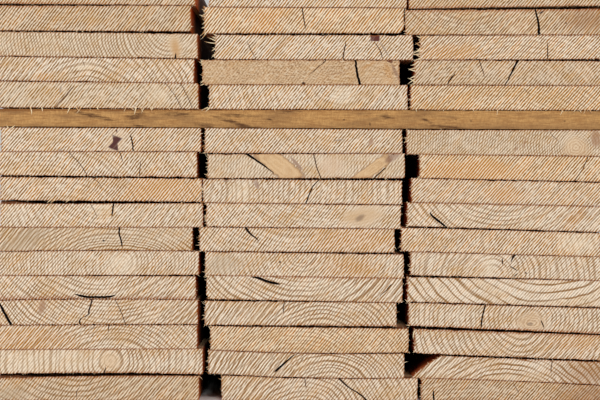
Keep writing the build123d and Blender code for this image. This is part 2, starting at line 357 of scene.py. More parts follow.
class StackColours(bpy.types.PropertyGroup):
    """The colours of the bark, the splinters, the sticks and the stage."""

    bark: colour_choice("Bark", "The round outside of the log", (142, 74, 44))
    splinter: colour_choice("Splinter", "Loose wood fibres", (244, 222, 182))
    stick: colour_choice("Stick", "The spacer sticks' wood", (204, 156, 96))
    stage: colour_choice("Floor", "The floor", (226, 225, 222))


# Shader maths


class Field:
    """A shader socket that builds Math nodes when it is used in an expression."""

    def __init__(self, recipe, socket):
        self.recipe = recipe
        self.socket = socket

    def maths(self, operation, *values):
        """The result of one Math node."""
        return self.recipe.node("ShaderNodeMath", {"operation": operation}, dict(enumerate(values)))

    def __add__(self, other):
        return self.maths("ADD", self, other)

    __radd__ = __add__

    def __sub__(self, other):
        return self.maths("SUBTRACT", self, other)

    def __rsub__(self, other):
        return self.maths("SUBTRACT", other, self)

    def __mul__(self, other):
        return self.maths("MULTIPLY", self, other)

    __rmul__ = __mul__

    def __truediv__(self, other):
        return self.maths("DIVIDE", self, other)

    def __pow__(self, other):
        return self.maths("POWER", self, other)

    def __abs__(self):
        return self.maths("ABSOLUTE", self)

    def at_least(self, other):
        """The greater of the two."""
        return self.maths("MAXIMUM", self, other)

    def at_most(self, other):
        """The smaller of the two."""
        return self.maths("MINIMUM", self, other)

    def wave(self):
        """A wave from 0 to 1 that repeats where the value grows by 1."""
        return self.maths("SINE", self * (2 * math.pi)) * 0.5 + 0.5

    def between(self, low, high):
        """0 up to low, 1 from high, smooth between them; high may be the lower one."""
        first, last = (0.0, 1.0) if low < high else (1.0, 0.0)
        sockets = {"Value": self, "From Min": min(low, high), "From Max": max(low, high),
                   "To Min": first, "To Max": last}
        return self.recipe.node("ShaderNodeMapRange", {"interpolation_type": "SMOOTHSTEP"}, sockets)


class Recipe:
    """One finish: a material and the one method that adds a node to it."""

    def __init__(self, name):
        self.material = bpy.data.materials.new(name)
        self.material.use_nodes = True
        self.tree = self.material.node_tree
        self.shader = self.tree.nodes["Principled BSDF"]

    def set_sockets(self, node, sockets):
        """Link each socket to a field, or write its value."""
        for key, value in sockets.items():
            if isinstance(value, Field):
                self.tree.links.new(value.socket, node.inputs[key])
            else:
                node.inputs[key].default_value = value

    def node(self, kind, settings=(), sockets=(), output=0):
        """Add a node: its settings, then its sockets' values or links. Returns its output, or several."""
        node = self.tree.nodes.new(kind)
        for key, value in dict(settings).items():
            setattr(node, key, value)
        self.set_sockets(node, dict(sockets))
        if isinstance(output, tuple):
            return tuple(Field(self, node.outputs[key]) for key in output)
        return Field(self, node.outputs[output])

    def parts(self, vector):
        """A vector's three parts."""
        return self.node("ShaderNodeSeparateXYZ", sockets={0: vector}, output=(0, 1, 2))

    def place(self):
        """The place on the piece, in millimetres right, back and up."""
        return tuple(part / MM for part in self.parts(self.node("ShaderNodeTexCoord", output="Object")))

    def point(self, x, y, z):
        """A vector from its three parts."""
        return self.node("ShaderNodeCombineXYZ", sockets={0: x, 1: y, 2: z})

    def noise(self, x, y, z, detail=2.0, roughness=0.5):
        """Smooth noise about 0.5, one grain to each unit of the place that it is given."""
        sockets = {"Vector": self.point(x, y, z), "Scale": 1.0, "Detail": detail, "Roughness": roughness}
        return self.node("ShaderNodeTexNoise", sockets=sockets)

    def blend(self, share, first, second):
        """The first colour, turned into the second one by a share."""
        return self.node("ShaderNodeMix", {"data_type": "RGBA"}, {0: share, 6: first, 7: second}, output=2)

    def layered(self, colour, *layers):
        """A colour with others over it, each with its share: colours are screen values or fields."""
        for share, over in layers:
            colour = self.blend(share, colour, over if isinstance(over, Field) else linear(over))
        return colour

    def attribute(self, name, output="Fac"):
        """A value that the mesh carries."""
        return self.node("ShaderNodeAttribute", {"attribute_name": name}, output=output)

    def finish(self, colour, roughness, height=None, relief=0.0003):
        """Join the colour, the roughness and a bump of the height to the shader."""
        sockets = {"Base Color": colour, "Roughness": roughness, "Specular IOR Level": 0.3}
        if height is not None:
            bump = {"Strength": 0.8, "Distance": relief, "Height": height}
            sockets["Normal"] = self.node("ShaderNodeBump", sockets=bump)
        self.set_sockets(self.shader, sockets)
        return self.material


def inside_mark(x, z, mark, kind, wander):
    """A mark's distance field: below 1 inside an ellipse, a box with round corners or an hourglass.

    The place is turned by the lean and divided by the half sizes. The two shares' powers are added, or for an
    hourglass the greater share counts, with a waist that narrows the one across.
    """
    middle_x, middle_z = on_end(mark.x, mark.y)
    cosine, sine = math.cos(math.radians(mark.lean)), math.sin(math.radians(mark.lean))
    from_x, from_z = x - middle_x, z - middle_z
    along = abs(from_x * (cosine / mark.long) + from_z * (sine / mark.long))
    across = abs(from_z * (cosine / mark.wide) - from_x * (sine / mark.wide))
    if kind.shape == "hourglass":
        return along.at_least(across / (along * 0.6 + 0.5)) + wander * 0.6
    power = 6.0 if kind.shape == "box" else 2.0
    return (along ** power + across ** power) ** (1 / power) + wander


def mark_shade(recipe, mark, kind, reach, broad):
    """The colour inside a mark. A knot's and a band's have rings, which are waves of the distance field."""
    if mark.kind == "knot":
        turns, brown, pale = 4.0, 0.62, 0.42
    elif mark.kind == "band":
        turns, brown, pale = 2.5, 0.3, 0.1
    else:
        return linear(kind.colour)
    rings = (reach * turns).wave()
    seen = broad.between(0.35, 0.6) * 0.6 + 0.4
    return recipe.layered(
        linear(kind.colour), (rings * seen * brown, (156, 106, 60)), ((1 - rings) * pale, (244, 224, 192)))


def end_grain(name, look, saw_slope, seed, sizes):
    """The finish of one board's end.

    The saw lines are a wave across their slope, painted shade in the saw marks' grooves, the rings a wave of
    the distance from the heart. Noise drawn out along the saw lines varies each line and its orange. Marks
    lie on top, then the cracks, near black as painted shade where they open, and the painted shade along the
    torn edges, which the mesh carries as attributes.
    """
    recipe = Recipe(name)
    pale, brown, orange = (linear(colour) for colour in WOODS[look.wood])
    x, y, z = recipe.place()
    slope = math.radians(saw_slope)
    line_spacing = sizes.saw_pitch / MM * math.sin(slope)

    broad = recipe.noise(x / 34, z / 15, seed, 3.0)
    wobble = recipe.noise(x / 9, z / 9, seed + 3.0, 3.0) - 0.5
    across = x * math.sin(slope) - z * math.cos(slope) + wobble * 1.5
    along = x * math.cos(slope) + z * math.sin(slope)
    each_line = recipe.noise(across / (0.95 * line_spacing), along / 6, seed + 7.0, 3.0)
    streaks = recipe.noise(across / (1.7 * line_spacing), along / 34, seed + 11.0, 3.0)
    saw = (across / line_spacing).wave().between(0.15, 0.7)

    heart_x, heart_z = on_end(*look.heart)
    from_x, from_z = x - heart_x, z - heart_z
    drift = (recipe.noise(x / 34, z / 26, seed + 19.0, 2.0) - 0.5) * (look.wavy * 8)
    radius = (from_x ** 2.0 + from_z ** 2.0) ** 0.5 + drift
    years = recipe.noise(radius / 13, seed * 3.0, 0.0, 1.0) * 2.0 + radius / look.spacing
    seen = recipe.noise(x / 42, z / 26, seed + 37.0, 2.0).between(0.3, 0.62) * 0.6 + 0.45
    # wide rings have thinner late wood, and next to the heart it is faint
    thin = min(0.06 * (look.spacing - 3.0), 0.32)
    faint = radius.between(3.0, 15.0) * 0.6 + 0.4
    late_wood = years.wave().between(0.4 + thin, 0.9 + thin / 4) * seen * faint
    richer = recipe.noise(radius / 15, seed * 5.0, 2.0, 2.0).between(0.48, 0.72)
    near_face = y.between(-1150.0, -1190.0)

    calm, amber = 1.0, 0.0
    marks = []
    wander = (recipe.noise(x / 5, z / 5, seed + 23.0, 2.0) - 0.5) * 0.45
    for mark in look.marks:
        kind = KINDS[mark.kind]
        reach = inside_mark(x, z, mark, kind, wander * (0.9 if mark.kind == "knot" else 1.0))
        mask = reach.between(1 + kind.softness, 1 - kind.softness) * near_face
        calm = calm * (1 - mask * kind.calm)
        if mark.kind == "amber":
            amber = mask * 0.2 + amber
        if kind.shape == "hourglass" or mark.kind in ("blot", "bruised"):
            mask = mask * (streaks.between(0.3, 0.5) * 0.3 + 0.7)
        marks.append((kind, mark, reach, mask))

    # the saw lines, brown turning orange along streaks, are painted shade in the saw marks' grooves
    strength = (each_line.between(0.3, 0.66) * 0.75 + 0.55) * look.lines * (1 - 0.3 * look.rings) * calm
    lines = saw * strength
    tint = recipe.blend((streaks + amber).between(0.44, 0.62), brown, orange)
    ringed = (late_wood * (look.rings * 1.15) * (saw * 0.3 + 0.8) * (calm * 0.5 + 0.5)).at_most(0.95)
    colour = recipe.layered(
        pale,
        (richer * 0.22, (226, 182, 112)),
        ((lines * (broad * 0.8 + 0.6)).at_most(1.0), tint),
        (ringed, (136, 88, 14)),
        ((broad - 0.5).at_least(0.0) * 1.4, (202, 156, 94)))
    for kind, mark, reach, mask in marks:
        colour = recipe.blend(mask * kind.strength, colour, mark_shade(recipe, mark, kind, reach, broad))
        if kind.outline:
            edge = (abs(reach - 1.0)).between(0.16, 0.02) * near_face * kind.outline
            colour = recipe.layered(colour, (edge, (120, 78, 48)))
    is_tan = look.wood == "tan"
    speck = recipe.noise(x / 0.9, z / 0.9, seed + 29.0, 1.0)
    colour = recipe.layered(colour, (speck.between(0.55, 0.75) * (0.8 if is_tan else 0.35), (150, 98, 26)))
    if is_tan:
        flecks = recipe.noise(x / 5, z / 2.2, seed + 47.0, 2.0).between(0.5, 0.68)
        patches = recipe.noise(x / 26, z / 14, seed + 43.0, 2.0).between(0.42, 0.58)
        pocks = recipe.noise(x / 1.9, z / 1.4, seed + 41.0, 1.0).between(0.54, 0.64) * patches
        colour = recipe.layered(colour, (flecks * 0.45, (240, 220, 190)), (pocks * 0.65, (126, 78, 30)))

    ragged = recipe.noise(x / 1.3, z / 1.3, seed + 31.0, 1.0)
    dotted = (saw * 0.65 + ragged.between(0.35, 0.6) * 0.5 + 0.12).at_most(1.0)
    open_crack = recipe.attribute("crack")
    broken = (ragged * (1 - open_crack) * 1.6 + open_crack * 1.5 - 0.5).between(0.0, 1.0)
    # the cracks: brown where they are dark lines in the wood, near black as painted shade where they open
    crack_shade = recipe.blend(open_crack.between(0.7, 1.0), linear((104, 54, 20)), linear((22, 9, 5)))
    # painted shade along the torn edges, dotted, then the cracks
    colour = recipe.layered(
        colour, (recipe.attribute("rim") * dotted, (152, 80, 14)), (open_crack.at_most(broken), crack_shade))
    height = speck * 0.3 - lines * 0.5 - late_wood * 0.2
    return recipe.finish(colour, 0.82, height, 0.25 * MM)


def sawn_face():
    """The finish of the boards' long faces.

    The rings cut the faces in long flames: the distance from the board's own heart, which wanders and tapers
    along the length. Fibres run lengthwise, faint saw marks cross them, and a few knots lie in long cells.
    """
    recipe = Recipe("sawn_face")
    x, y, z = recipe.place()
    heart_x, heart_z, seed = recipe.parts(recipe.attribute("heart", "Vector"))
    knot_reach = recipe.node(
        "ShaderNodeTexVoronoi", {"feature": "F1"},
        {"Vector": recipe.point(x / 110, y / 330 + seed, z / 60 + seed), "Scale": 1.0, "Randomness": 1.0},
        output="Distance")
    swirl = knot_reach.between(0.36, 0.05)
    bend = (recipe.noise(x / 60, y / 420, seed, 2.0) - 0.5) * 16
    radius = ((x - heart_x) ** 2.0 + (z - heart_z + bend) ** 2.0) ** 0.5 + y / 160 + swirl * 5
    late_wood = ((radius / 5.0 + recipe.noise(x / 40, y / 300, seed + 5.0, 2.0)).wave()) ** 3.0
    fibre = recipe.noise(x / 0.9, y / 45, z / 0.9, 3.0, 0.6)
    broad = recipe.noise(x / 60, y / 240, z / 40, 2.0)
    saw_mark = (y / 4.1 + x / 60 + recipe.noise(x / 30, y / 30, z / 30, 1.0)).wave() ** 2.0
    mark_share = recipe.noise(x / 25, y / 90, z / 25 + seed, 2.0).between(0.35, 0.7)
    own_tone = recipe.noise(seed * 1.37, 0.5, 0.5, 0.0).between(0.3, 0.7)
    # painted shade deep in a gap between the columns, and painted red-brown light where light still reaches
    gap_light_and_shade = recipe.blend(y.between(-1050.0, -1165.0), linear((70, 26, 10)), linear((224, 126, 50)))
    colour = recipe.layered(
        linear((232, 206, 166)),
        (own_tone, (208, 172, 124)),
        (late_wood * 0.6, (178, 128, 78)),
        (fibre.between(0.42, 0.72) * 0.45, (166, 118, 72)),
        (broad.between(0.4, 0.75) * 0.4, (196, 150, 100)),
        (saw_mark * mark_share * 0.35, (158, 112, 70)),
        (swirl * 0.35, (182, 128, 78)),
        (knot_reach.between(0.11, 0.04) * 0.9, (104, 60, 34)),
        # painted shade behind the joints' mouths and along the arrises
        (recipe.attribute("rim"), (112, 56, 22)),
        # painted shade in the gaps between the columns, and painted light near their front
        (recipe.attribute("crack"), gap_light_and_shade))
    height = fibre * 0.5 - saw_mark * mark_share * 0.5 - late_wood * 0.15
    return recipe.finish(colour, 0.8, height, 0.4 * MM)


def bark_finish(colours):
    """The log's round under the bark: red-brown bast with dark fibres along it, and painted light that
    makes it brighter at the open end.
    """
    recipe = Recipe("bark")
    x, y, z = recipe.place()
    fibre = recipe.noise(x / 1.4, y / 38, z / 1.4, 3.0, 0.6)
    flake = recipe.noise(x / 7, y / 60, z / 7, 2.0)
    colour = recipe.layered(
        tuple(colours.bark),
        (fibre.between(0.35, 0.7) * 0.7, (84, 36, 22)),
        (flake.between(0.55, 0.75) * 0.6, (196, 132, 84)),
        # painted light: redder and brighter towards the open end
        (y.between(-1120.0, -1175.0) * 0.75, (214, 108, 40)))
    return recipe.finish(colour, 0.85, fibre + flake * 0.6, 0.8 * MM)


def splinter_finish(colours):
    """Loose fibres: pale wood, darker here and there."""
    recipe = Recipe("splinter")
    x, y, z = recipe.place()
    shade = recipe.noise(x / 6, y / 6, z / 6, 1.0)
    colour = recipe.layered(tuple(colours.splinter), (shade.between(0.45, 0.7), (196, 140, 84)))
    return recipe.finish(colour, 0.8)


# The near stick's stains, each with its middle, half sizes and lean as in a Mark
STICK_STAINS = tuple(Mark("stain", *place) for place in (
    (95, 116, 22, 2.2, -12), (136, 116, 9, 4, 10), (141, 126, 8, 1.2, -10), (178, 114, 18, 2.2, -4),
    (238, 115.5, 18, 1.6, -3), (234, 122, 22, 2.0, -17), (250, 127, 17, 1.6, -6), (270.5, 119.4, 3, 1.0, -15),
    (290, 111, 12, 1.2, 0), (345, 119.6, 1.2, 0.9), (387, 116.6, 8, 2.2, -8), (371, 124, 1.0, 2.2),
    (426, 119.6, 8, 1.5, -28), (447, 127, 20, 1.8, -4), (472, 120.6, 1.2, 1.0), (457, 119.6, 1.2, 0.8),
    (566, 121, 1.2, 1.0), (205, 125, 10, 2.2, -6)))


# How much a stick rises to the right, for each mm
STICK_RISE = 0.0017


def stick_finish(colours, name, stains, seed):
    """A spacer stick: weathered wood with grain along it, stains, small dark pits, darker towards its lower
    part, and a painted shadow of the boards along its top.
    """
    recipe = Recipe(name)
    x, y, z = recipe.place()
    wave = (recipe.noise(x / 80 + seed, y / 20, z / 9, 1.0) - 0.5) * 7
    fibre = recipe.noise(x / 14, (y + wave) / 1.0, (z + wave) / 1.0, 3.0, 0.65)
    weave = recipe.noise(x / 1.2, y / 1.2, z / 3.0, 1.0)
    cloud = recipe.noise(x / 46 + seed, y / 20, z / 8, 3.0)
    pit = recipe.noise(x / 2.2, y / 1.4, z / 1.4 + seed, 1.0)
    # the stick rises a little to the right
    level = z - x * STICK_RISE
    colour = recipe.layered(
        tuple(colours.stick),
        (fibre.between(0.38, 0.66) * 0.7, (156, 104, 54)),
        (weave.between(0.35, 0.65) * 0.35, (146, 102, 60)),
        (cloud.between(0.45, 0.7) * 0.6, (134, 96, 60)),
        # darker towards the lower part
        ((level + cloud * 5).between(283.0, 273.5) * 0.45, (124, 90, 60)))
    wander = (recipe.noise(x / 6, z / 2.5, seed, 3.0) - 0.5) * 1.5
    for stain in stains:
        reach = inside_mark(x, z, stain, KINDS["stain"], wander)
        streaky = fibre.between(0.35, 0.6) * 0.7 + 0.3
        share = reach.between(1.5, 0.2) * streaky * y.between(-1190.0, -1196.0)
        colour = recipe.layered(colour, (share, (92, 58, 30)))
    colour = recipe.layered(
        colour,
        (pit.between(0.7, 0.78) * 0.6, (84, 54, 34)),
        # painted shadow of the boards above, along the stick's top edge
        ((level + pit * 3).between(290.8, 292.6) * 0.75, (128, 74, 26)))
    return recipe.finish(colour, 0.82, fibre * 0.6 + weave * 0.3, 0.4 * MM)


# Surfaces


def ripple(points, size, seed, waves=11):
    """Smooth random heights, mostly from -1 to 1: added sine waves with random directions and lengths."""
    dice = np.random.default_rng(seed)
    direction = dice.normal(size=(waves, points.shape[-1]))
    direction /= np.linalg.norm(direction, axis=1, keepdims=True)
    length = size * dice.uniform(0.6, 1.7, waves)
    turn = dice.uniform(0, 2 * math.pi, waves)
    heights = np.sin(points @ (direction / length[:, None]).T * 2 * math.pi + turn)
    return heights.sum(axis=-1) / math.sqrt(waves)


def along(points, share):
    """The places at shares of a polyline's length, by linear interpolation over the length so far."""
    step = np.linalg.norm(np.diff(points, axis=0), axis=1)
    reach = np.concatenate([[0.0], np.cumsum(step)]) / step.sum()
    return np.stack([np.interp(share, reach, points[:, k]) for k in range(points.shape[1])], axis=-1)


class Edges(NamedTuple):
    """A section's four edges as polylines: the lower and upper from the left, the others from the bottom."""

    lower: np.ndarray
    upper: np.ndarray
    left: np.ndarray
    right: np.ndarray


# From this rise over run on, a step of a section's outline belongs to a side
STEEP = 0.35


def section_edges(points):
    """Split the corners of a section into its four edges, in order of their angle round the middle.

    A run whose rise is over a third of its width belongs to a side, the rest to the lower or upper edge.
    """
    ring = np.unique(points.round(3), axis=0)
    middle = (ring.max(axis=0) + ring.min(axis=0)) / 2
    size = ring.max(axis=0) - ring.min(axis=0)
    scaled = (ring - middle) / size
    ring = ring[np.argsort(np.arctan2(scaled[:, 1], scaled[:, 0]))]
    # start halfway up the left edge
    step = np.roll(ring, -1, axis=0) - ring
    half = ring + step / 2
    steep = np.abs(step[:, 1]) > STEEP * np.abs(step[:, 0])
    low = np.flatnonzero(~steep & (half[:, 1] < middle[1]))
    high = np.flatnonzero(~steep & (half[:, 1] > middle[1]))
    first_low, last_low, first_high, last_high = low[0], low[-1] + 1, high[0], high[-1] + 1
    closed = np.concatenate([ring, ring])
    return Edges(
        lower=ring[first_low:last_low + 1],
        upper=closed[first_high:last_high + 1][::-1],
        left=closed[last_high:first_low + len(ring) + 1][::-1],
        right=ring[last_low:first_high + 1])


def filled(edges, u, v):
    """A Coons patch: the blend across plus the blend up, less the blend of the four corners."""
    across, up = u[..., None], v[..., None]
    lower, upper, left, right = edges
    corners = ((1 - across) * (1 - up) * lower[0] + across * (1 - up) * lower[-1]
               + (1 - across) * up * upper[0] + across * up * upper[-1])
    return ((1 - up) * along(lower, u) + up * along(upper, u)
            + (1 - across) * along(left, v) + across * along(right, v) - corners)


def spread(length, count, rim):
    """Shares of a length for count steps: a few near each end, where the rim says in mm, the rest even."""
    near = np.array(rim) / length
    even = np.linspace(near[-1], 1 - near[-1], count + 3 - 2 * len(rim))[1:-1]
    return np.concatenate([near, even, 1 - near[::-1]])


# The steps of an end's grid, and how far in its first lines lie, in mm
ACROSS, UP = 124, 14
ACROSS_RIM, UP_RIM = (0.0, 0.5, 1.5), (0.0, 0.5, 1.4)


class Grid(NamedTuple):
    """The lines of an end's grid, as shares across and up, and how open and how dark the cracks are there."""

    u: np.ndarray
    v: np.ndarray
    depth: np.ndarray
    dark: np.ndarray


def is_level(course):
    """Whether a crack runs more across the end than up it."""
    (x0, y0), (x1, y1) = course[0], course[-1]
    return abs(y1 - y0) < 0.5 * abs(x1 - x0)


# The outermost lines of a crack lie this far outside it, and half of its width is at least this much, in mm
CRACK_LIP = 0.3
LEAST_HALF = 0.12
# Over how many mm from its tips a level crack and a steep one come to their widths
LEVEL_TIP, STEEP_TIP = 6.0, 5.0
# A steep crack that comes this near to the end's edge goes on through it, as if its tip were far off; in mm
GOES_THROUGH, FAR_OFF = 1.6, 9.0


def crack_lines(half, size):
    """How far a crack's two lips, two edges and bottom lie from its middle, as shares of the end's size."""
    half = np.maximum(half, LEAST_HALF) / size
    lip = CRACK_LIP / size
    return np.stack([-half - lip, -half, 0 * half, half, half + lip])


def led(base, leads):
    """Lines, moved so that five go to each crack's places, and the others by a share of that shift."""
    knots, shifts = [0.0], [0.0]
    for line, places in leads:
        knots += list(base[line - 2:line + 3])
        shifts += list(places - base[line - 2:line + 3])
    return base + np.interp(base, knots + [1.0], shifts + [0.0])


def open_up(depth, dark, line, open_here, share, darkness):
    """Note how open a crack's middle line is, and how dark it and its two edges are."""
    depth[line] = np.maximum(depth[line], open_here * share * darkness)
    for k in (-1, 0, 1):
        dark[line + k] = np.maximum(dark[line + k], open_here * darkness)


def end_lines(edges, cracks):
    """The grid of an end, its lines leaning so that five of them follow each crack.

    A crack's lines are a little way outside it, on its two edges and on its bottom. The others move by a
    share of the nearest cracks' shift. Steep cracks are followed by the lines that go up, level ones by those
    that go across. A crack comes to its width a few mm in from its tips, and keeps it where it goes through
    the end's edge.
    """
    width = edges.lower[-1, 0] - edges.lower[0, 0]
    height = edges.upper[:, 1].mean() - edges.lower[:, 1].mean()
    base_u, base_v = spread(width, ACROSS, ACROSS_RIM), spread(height, UP, UP_RIM)
    u, v = np.meshgrid(base_u, base_v, indexing="ij")
    depth, dark = np.zeros_like(u), np.zeros_like(u)

    steep = []
    for one in cracks:
        course = np.array([on_end(*place) for place in one.course])
        if not is_level(one.course):
            steep.append((course[np.argsort(course[:, 1])], one))
            continue
        course = course[np.argsort(course[:, 0])]
        x = along(edges.lower, base_u)[:, 0]
        target = (np.interp(x, *course.T) - np.interp(x, *edges.lower.T)) / height
        line = int(np.clip(np.argmin(abs(base_v - target.mean())), 3, UP - 3))
        ends = np.minimum(x - course[0, 0], course[-1, 0] - x)
        share = np.clip(ends / LEVEL_TIP, 0.0, 1.0) ** 0.5
        lines = crack_lines(one.width / 2 * share, height)
        room = np.clip(target, (lines[4] + 0.02), 1 - lines[4] - 0.02)
        for column in range(ACROSS + 1):
            v[column] = led(base_v, [(line, room[column] + lines[:, column])])
        open_up(depth.T, dark.T, line, ends > 0, share, one.dark)

    leads = []
    for course, one in sorted(steep, key=lambda pair: pair[0][:, 0].mean()):
        low, high = (np.interp(course[:, 0].mean(), *edge.T) for edge in (edges.lower, edges.upper))
        z = low + (high - low) * base_v
        left_x, right_x = along(edges.left, base_v)[:, 0], along(edges.right, base_v)[:, 0]
        target = (np.interp(z, course[:, 1], course[:, 0]) - left_x) / (right_x - left_x)
        line = int(np.argmin(abs(base_u - target.mean())))
        line = int(np.clip(line, leads[-1][0] + 5 if leads else 3, ACROSS - 3))
        below = np.where(course[0, 1] < low + GOES_THROUGH, FAR_OFF, z - course[0, 1])
        above = np.where(course[-1, 1] > high - GOES_THROUGH, FAR_OFF, course[-1, 1] - z)
        ends = np.minimum(below, above)
        share = np.clip((ends + 1.2) / STEEP_TIP, 0.0, 1.0) ** 0.6
        run = ((z - course[0, 1]) / (course[-1, 1] - course[0, 1])).clip(0, 1)
        if one.course[0][1] < one.course[-1][1]:
            run = 1 - run
        thin = 1 - 0.75 * abs(one.taper) * (run if one.taper > 0 else 1 - run)
        leads.append((line, target + crack_lines(one.width / 2 * share * thin, width)))
        open_up(depth, dark, line, ends > -0.8, share, one.dark)
    for row in range(UP + 1):
        u[:, row] = led(base_u, [(line, places[:, row]) for line, places in leads])
    return Grid(u, v, depth, dark)


# From this angle between two faces on, in degrees, their edge is sharp
SHARP_ANGLE = 42


class Shell:
    """A mesh in the making: its points, faces, finishes, map and the values that its finishes read."""

    def __init__(self):
        self.points, self.faces, self.finishes, self.maps, self.rims, self.cracks = [], [], [], [], [], []
        self.count = 0

    def add(self, points, faces, finish, map_corners, rim=0.0, crack_and_gap_shade=0.0):
        """Add (n, 3) points, (m, corners) faces of a finish number and their (m, corners, 2) map places."""
        count = len(points)
        self.points.append(points)
        self.faces.append(faces + self.count)
        self.finishes.append(np.broadcast_to(finish, (len(faces),)))
        self.maps.append(map_corners.reshape(-1, 2))
        self.rims.append(np.broadcast_to(rim, (count,)))
        self.cracks.append(np.broadcast_to(crack_and_gap_shade, (count,)))
        self.count += count

    def mesh(self, name, finishes, constants):
        """Put the arrays into a new mesh object at the origin, in metres."""
        mesh = bpy.data.meshes.new(name)
        points = (np.concatenate(self.points) * MM).clip(*CAD_BOX)
        totals = np.concatenate([np.full(len(faces), faces.shape[1]) for faces in self.faces])
        corners = np.concatenate([faces.ravel() for faces in self.faces])
        mesh.vertices.add(len(points))
        mesh.vertices.foreach_set("co", points.ravel())
        mesh.loops.add(len(corners))
        mesh.loops.foreach_set("vertex_index", corners)
        mesh.polygons.add(len(totals))
        mesh.polygons.foreach_set("loop_start", np.concatenate([[0], np.cumsum(totals)[:-1]]))
        mesh.polygons.foreach_set("material_index", np.concatenate(self.finishes))
        mesh.update(calc_edges=True)
        mesh.polygons.foreach_set("use_smooth", np.ones(len(totals), bool))
        mesh.uv_layers.new(name="OFBake").data.foreach_set("uv", np.concatenate(self.maps).ravel())
        # rim holds painted shade at edges, joints and arrises; crack, cracks' darkness and gaps' painted
        # shade
        for key, values in (("rim", self.rims), ("crack", self.cracks)):
            mesh.attributes.new(key, "FLOAT", "POINT").data.foreach_set("value", np.concatenate(values))
        heart = np.repeat(np.array([constants], float), len(points), axis=0)
        mesh.attributes.new("heart", "FLOAT_VECTOR", "POINT").data.foreach_set("vector", heart.ravel())
        mesh.set_sharp_from_angle(angle=math.radians(SHARP_ANGLE))
        for finish in finishes:
            mesh.materials.append(finish)
        piece = bpy.data.objects.new(name, mesh)
        bpy.context.scene.collection.objects.link(piece)
        return piece


END_GRAIN, LONG_FACE, BARK, SPLINTER = range(4)

# Strips of the map, each from its bottom to its top: the near and the far end, the four long faces in the
# order of a border's runs, and the splinters
NEAR_STRIP, FAR_STRIP = (0.0, 0.125), (0.13, 0.2)
RUN_STRIPS = ((0.21, 0.45), (0.72, 0.84), (0.46, 0.7), (0.85, 0.96))
SPLINTER_STRIP = (0.97, 1.0)


def grid_faces(columns, rows):
    """The faces of a grid, its points numbered column by column, anticlockwise as the columns go right."""
    start = (np.arange(columns)[:, None] * (rows + 1) + np.arange(rows)[None, :]).ravel()
    return np.stack([start, start + rows + 1, start + rows + 2, start + 1], axis=1)


def perimeter(columns, rows):
    """The border of such a grid, anticlockwise from the lower left, and the run that each point starts."""
    number = np.arange((columns + 1) * (rows + 1)).reshape(columns + 1, rows + 1)
    border = np.concatenate([number[:-1, 0], number[-1, :-1], number[:0:-1, -1], number[0, :0:-1]])
    run = np.repeat([0, 1, 2, 3], [columns, rows, columns, rows])
    return border, run


def rim_of(columns, rows):
    """1 on the border of such a grid, and 0 inside it."""
    return np.pad(np.zeros((columns - 1, rows - 1)), 1, constant_values=1.0)


def into_strip(strip, share_x, share_y):
    """Places in a strip of the map, from their shares of its length and height."""
    return np.stack([share_x, strip[0] + (strip[1] - strip[0]) * share_y], axis=-1)


def standing(flat, y):
    """A section's places, kept between the floor and the stack's top, with their places along the board."""
    return np.stack([flat[..., 0], y, flat[..., 1].clip(*BOX[:, 2])], axis=-1)


def skin_faces(border, own, end_size):
    """The faces of the long skin between two ends, numbered from the first of its own points on.

    Its first and last ring are the borders of the two ends, which come just before it: the shape is closed.
    """
    numbers = np.concatenate([border - 2 * end_size, np.arange(own), border - end_size])
    numbers = numbers.reshape(-1, len(border))
    following = np.roll(numbers, -1, axis=1)
    return np.stack([numbers[:-1], numbers[1:], following[1:], following[:-1]], axis=-1).reshape(-1, 4)


def skin_map(steps, start, end, low=0.0, high=1.0):
    """The places of such faces in the map: along it from step to step, and up its strip from start to end."""
    maps = []
    for share_x, share_y in ((steps[:-1], start), (steps[1:], start), (steps[1:], end), (steps[:-1], end)):
        across_share, along_share = np.meshgrid(share_y, share_x)
        maps.append(np.stack([along_share, low + (high - low) * across_share], axis=-1))
    return np.stack(maps, axis=2).reshape(-1, 4, 2)


# Which way is inwards on a border's lower, right, upper and left run, and at its corners from the lower left
INWARD = np.array([[0.0, 1.0], [-1.0, 0.0], [0.0, -1.0], [1.0, 0.0]])
CORNER_INWARD = np.array([[1.0, 1.0], [-1.0, 1.0], [-1.0, -1.0], [1.0, -1.0]])

# How far in from an end's edges the painted shade along its torn edges reaches, in mm
RIM_WIDTH = 1.2
# How the mouths under and over an end gape where the photograph doesn't show it: pressed shut a little
SHUT = ((-0.4, -0.4), (-0.4, -0.4))
# The lengths of the torn edges' teeth, in mm, and how much deeper the sides are torn than the joints
FINE_TEETH, BROAD_TEETH = 3.4, 17.0
SIDE_TEARING = 1.2


def torn(edges, depth, seed, joints):
    """The edges of an end as the saw tore them: in by ragged notches and by half of what a joint gapes.

    The notches are fine and broad teeth added, shallower where a joint is pressed shut. Corners stay joined.
    """
    middle = (edges.lower[0] + edges.upper[-1]) / 2
    ragged = []
    for run, edge in enumerate(edges):
        is_joint = run < 2
        fine = along(edge, np.linspace(0, 1, 4 * (ACROSS if is_joint else UP)))
        teeth = ripple(fine, FINE_TEETH, seed + run) * 0.6 + ripple(fine, BROAD_TEETH, seed + 9 + run) * 0.5
        gape = np.linspace(*joints[run], len(fine)) if is_joint else np.zeros(len(fine))
        notch = depth * np.clip(0.9 * teeth - 0.1, -0.2, 1.7) * (1.0 if is_joint else SIDE_TEARING)
        notch = notch * (1 + 0.7 * gape.clip(-1, 0)) + gape.clip(0) / 2
        axis = int(is_joint)
        moved = fine.copy()
        moved[:, axis] += np.sign(middle[axis] - fine[:, axis].mean()) * notch
        ragged.append(moved)
    lower, upper, left, right = ragged
    for edge, side_end in ((lower, 0), (upper, -1)):
        for side, edge_end in ((left, 0), (right, -1)):
            edge[edge_end] = side[side_end] = (side[side_end, 0], edge[edge_end, 1])
        edge[:, 0] = np.clip(edge[:, 0], edge[0, 0], edge[-1, 0])
    return Edges(*ragged)


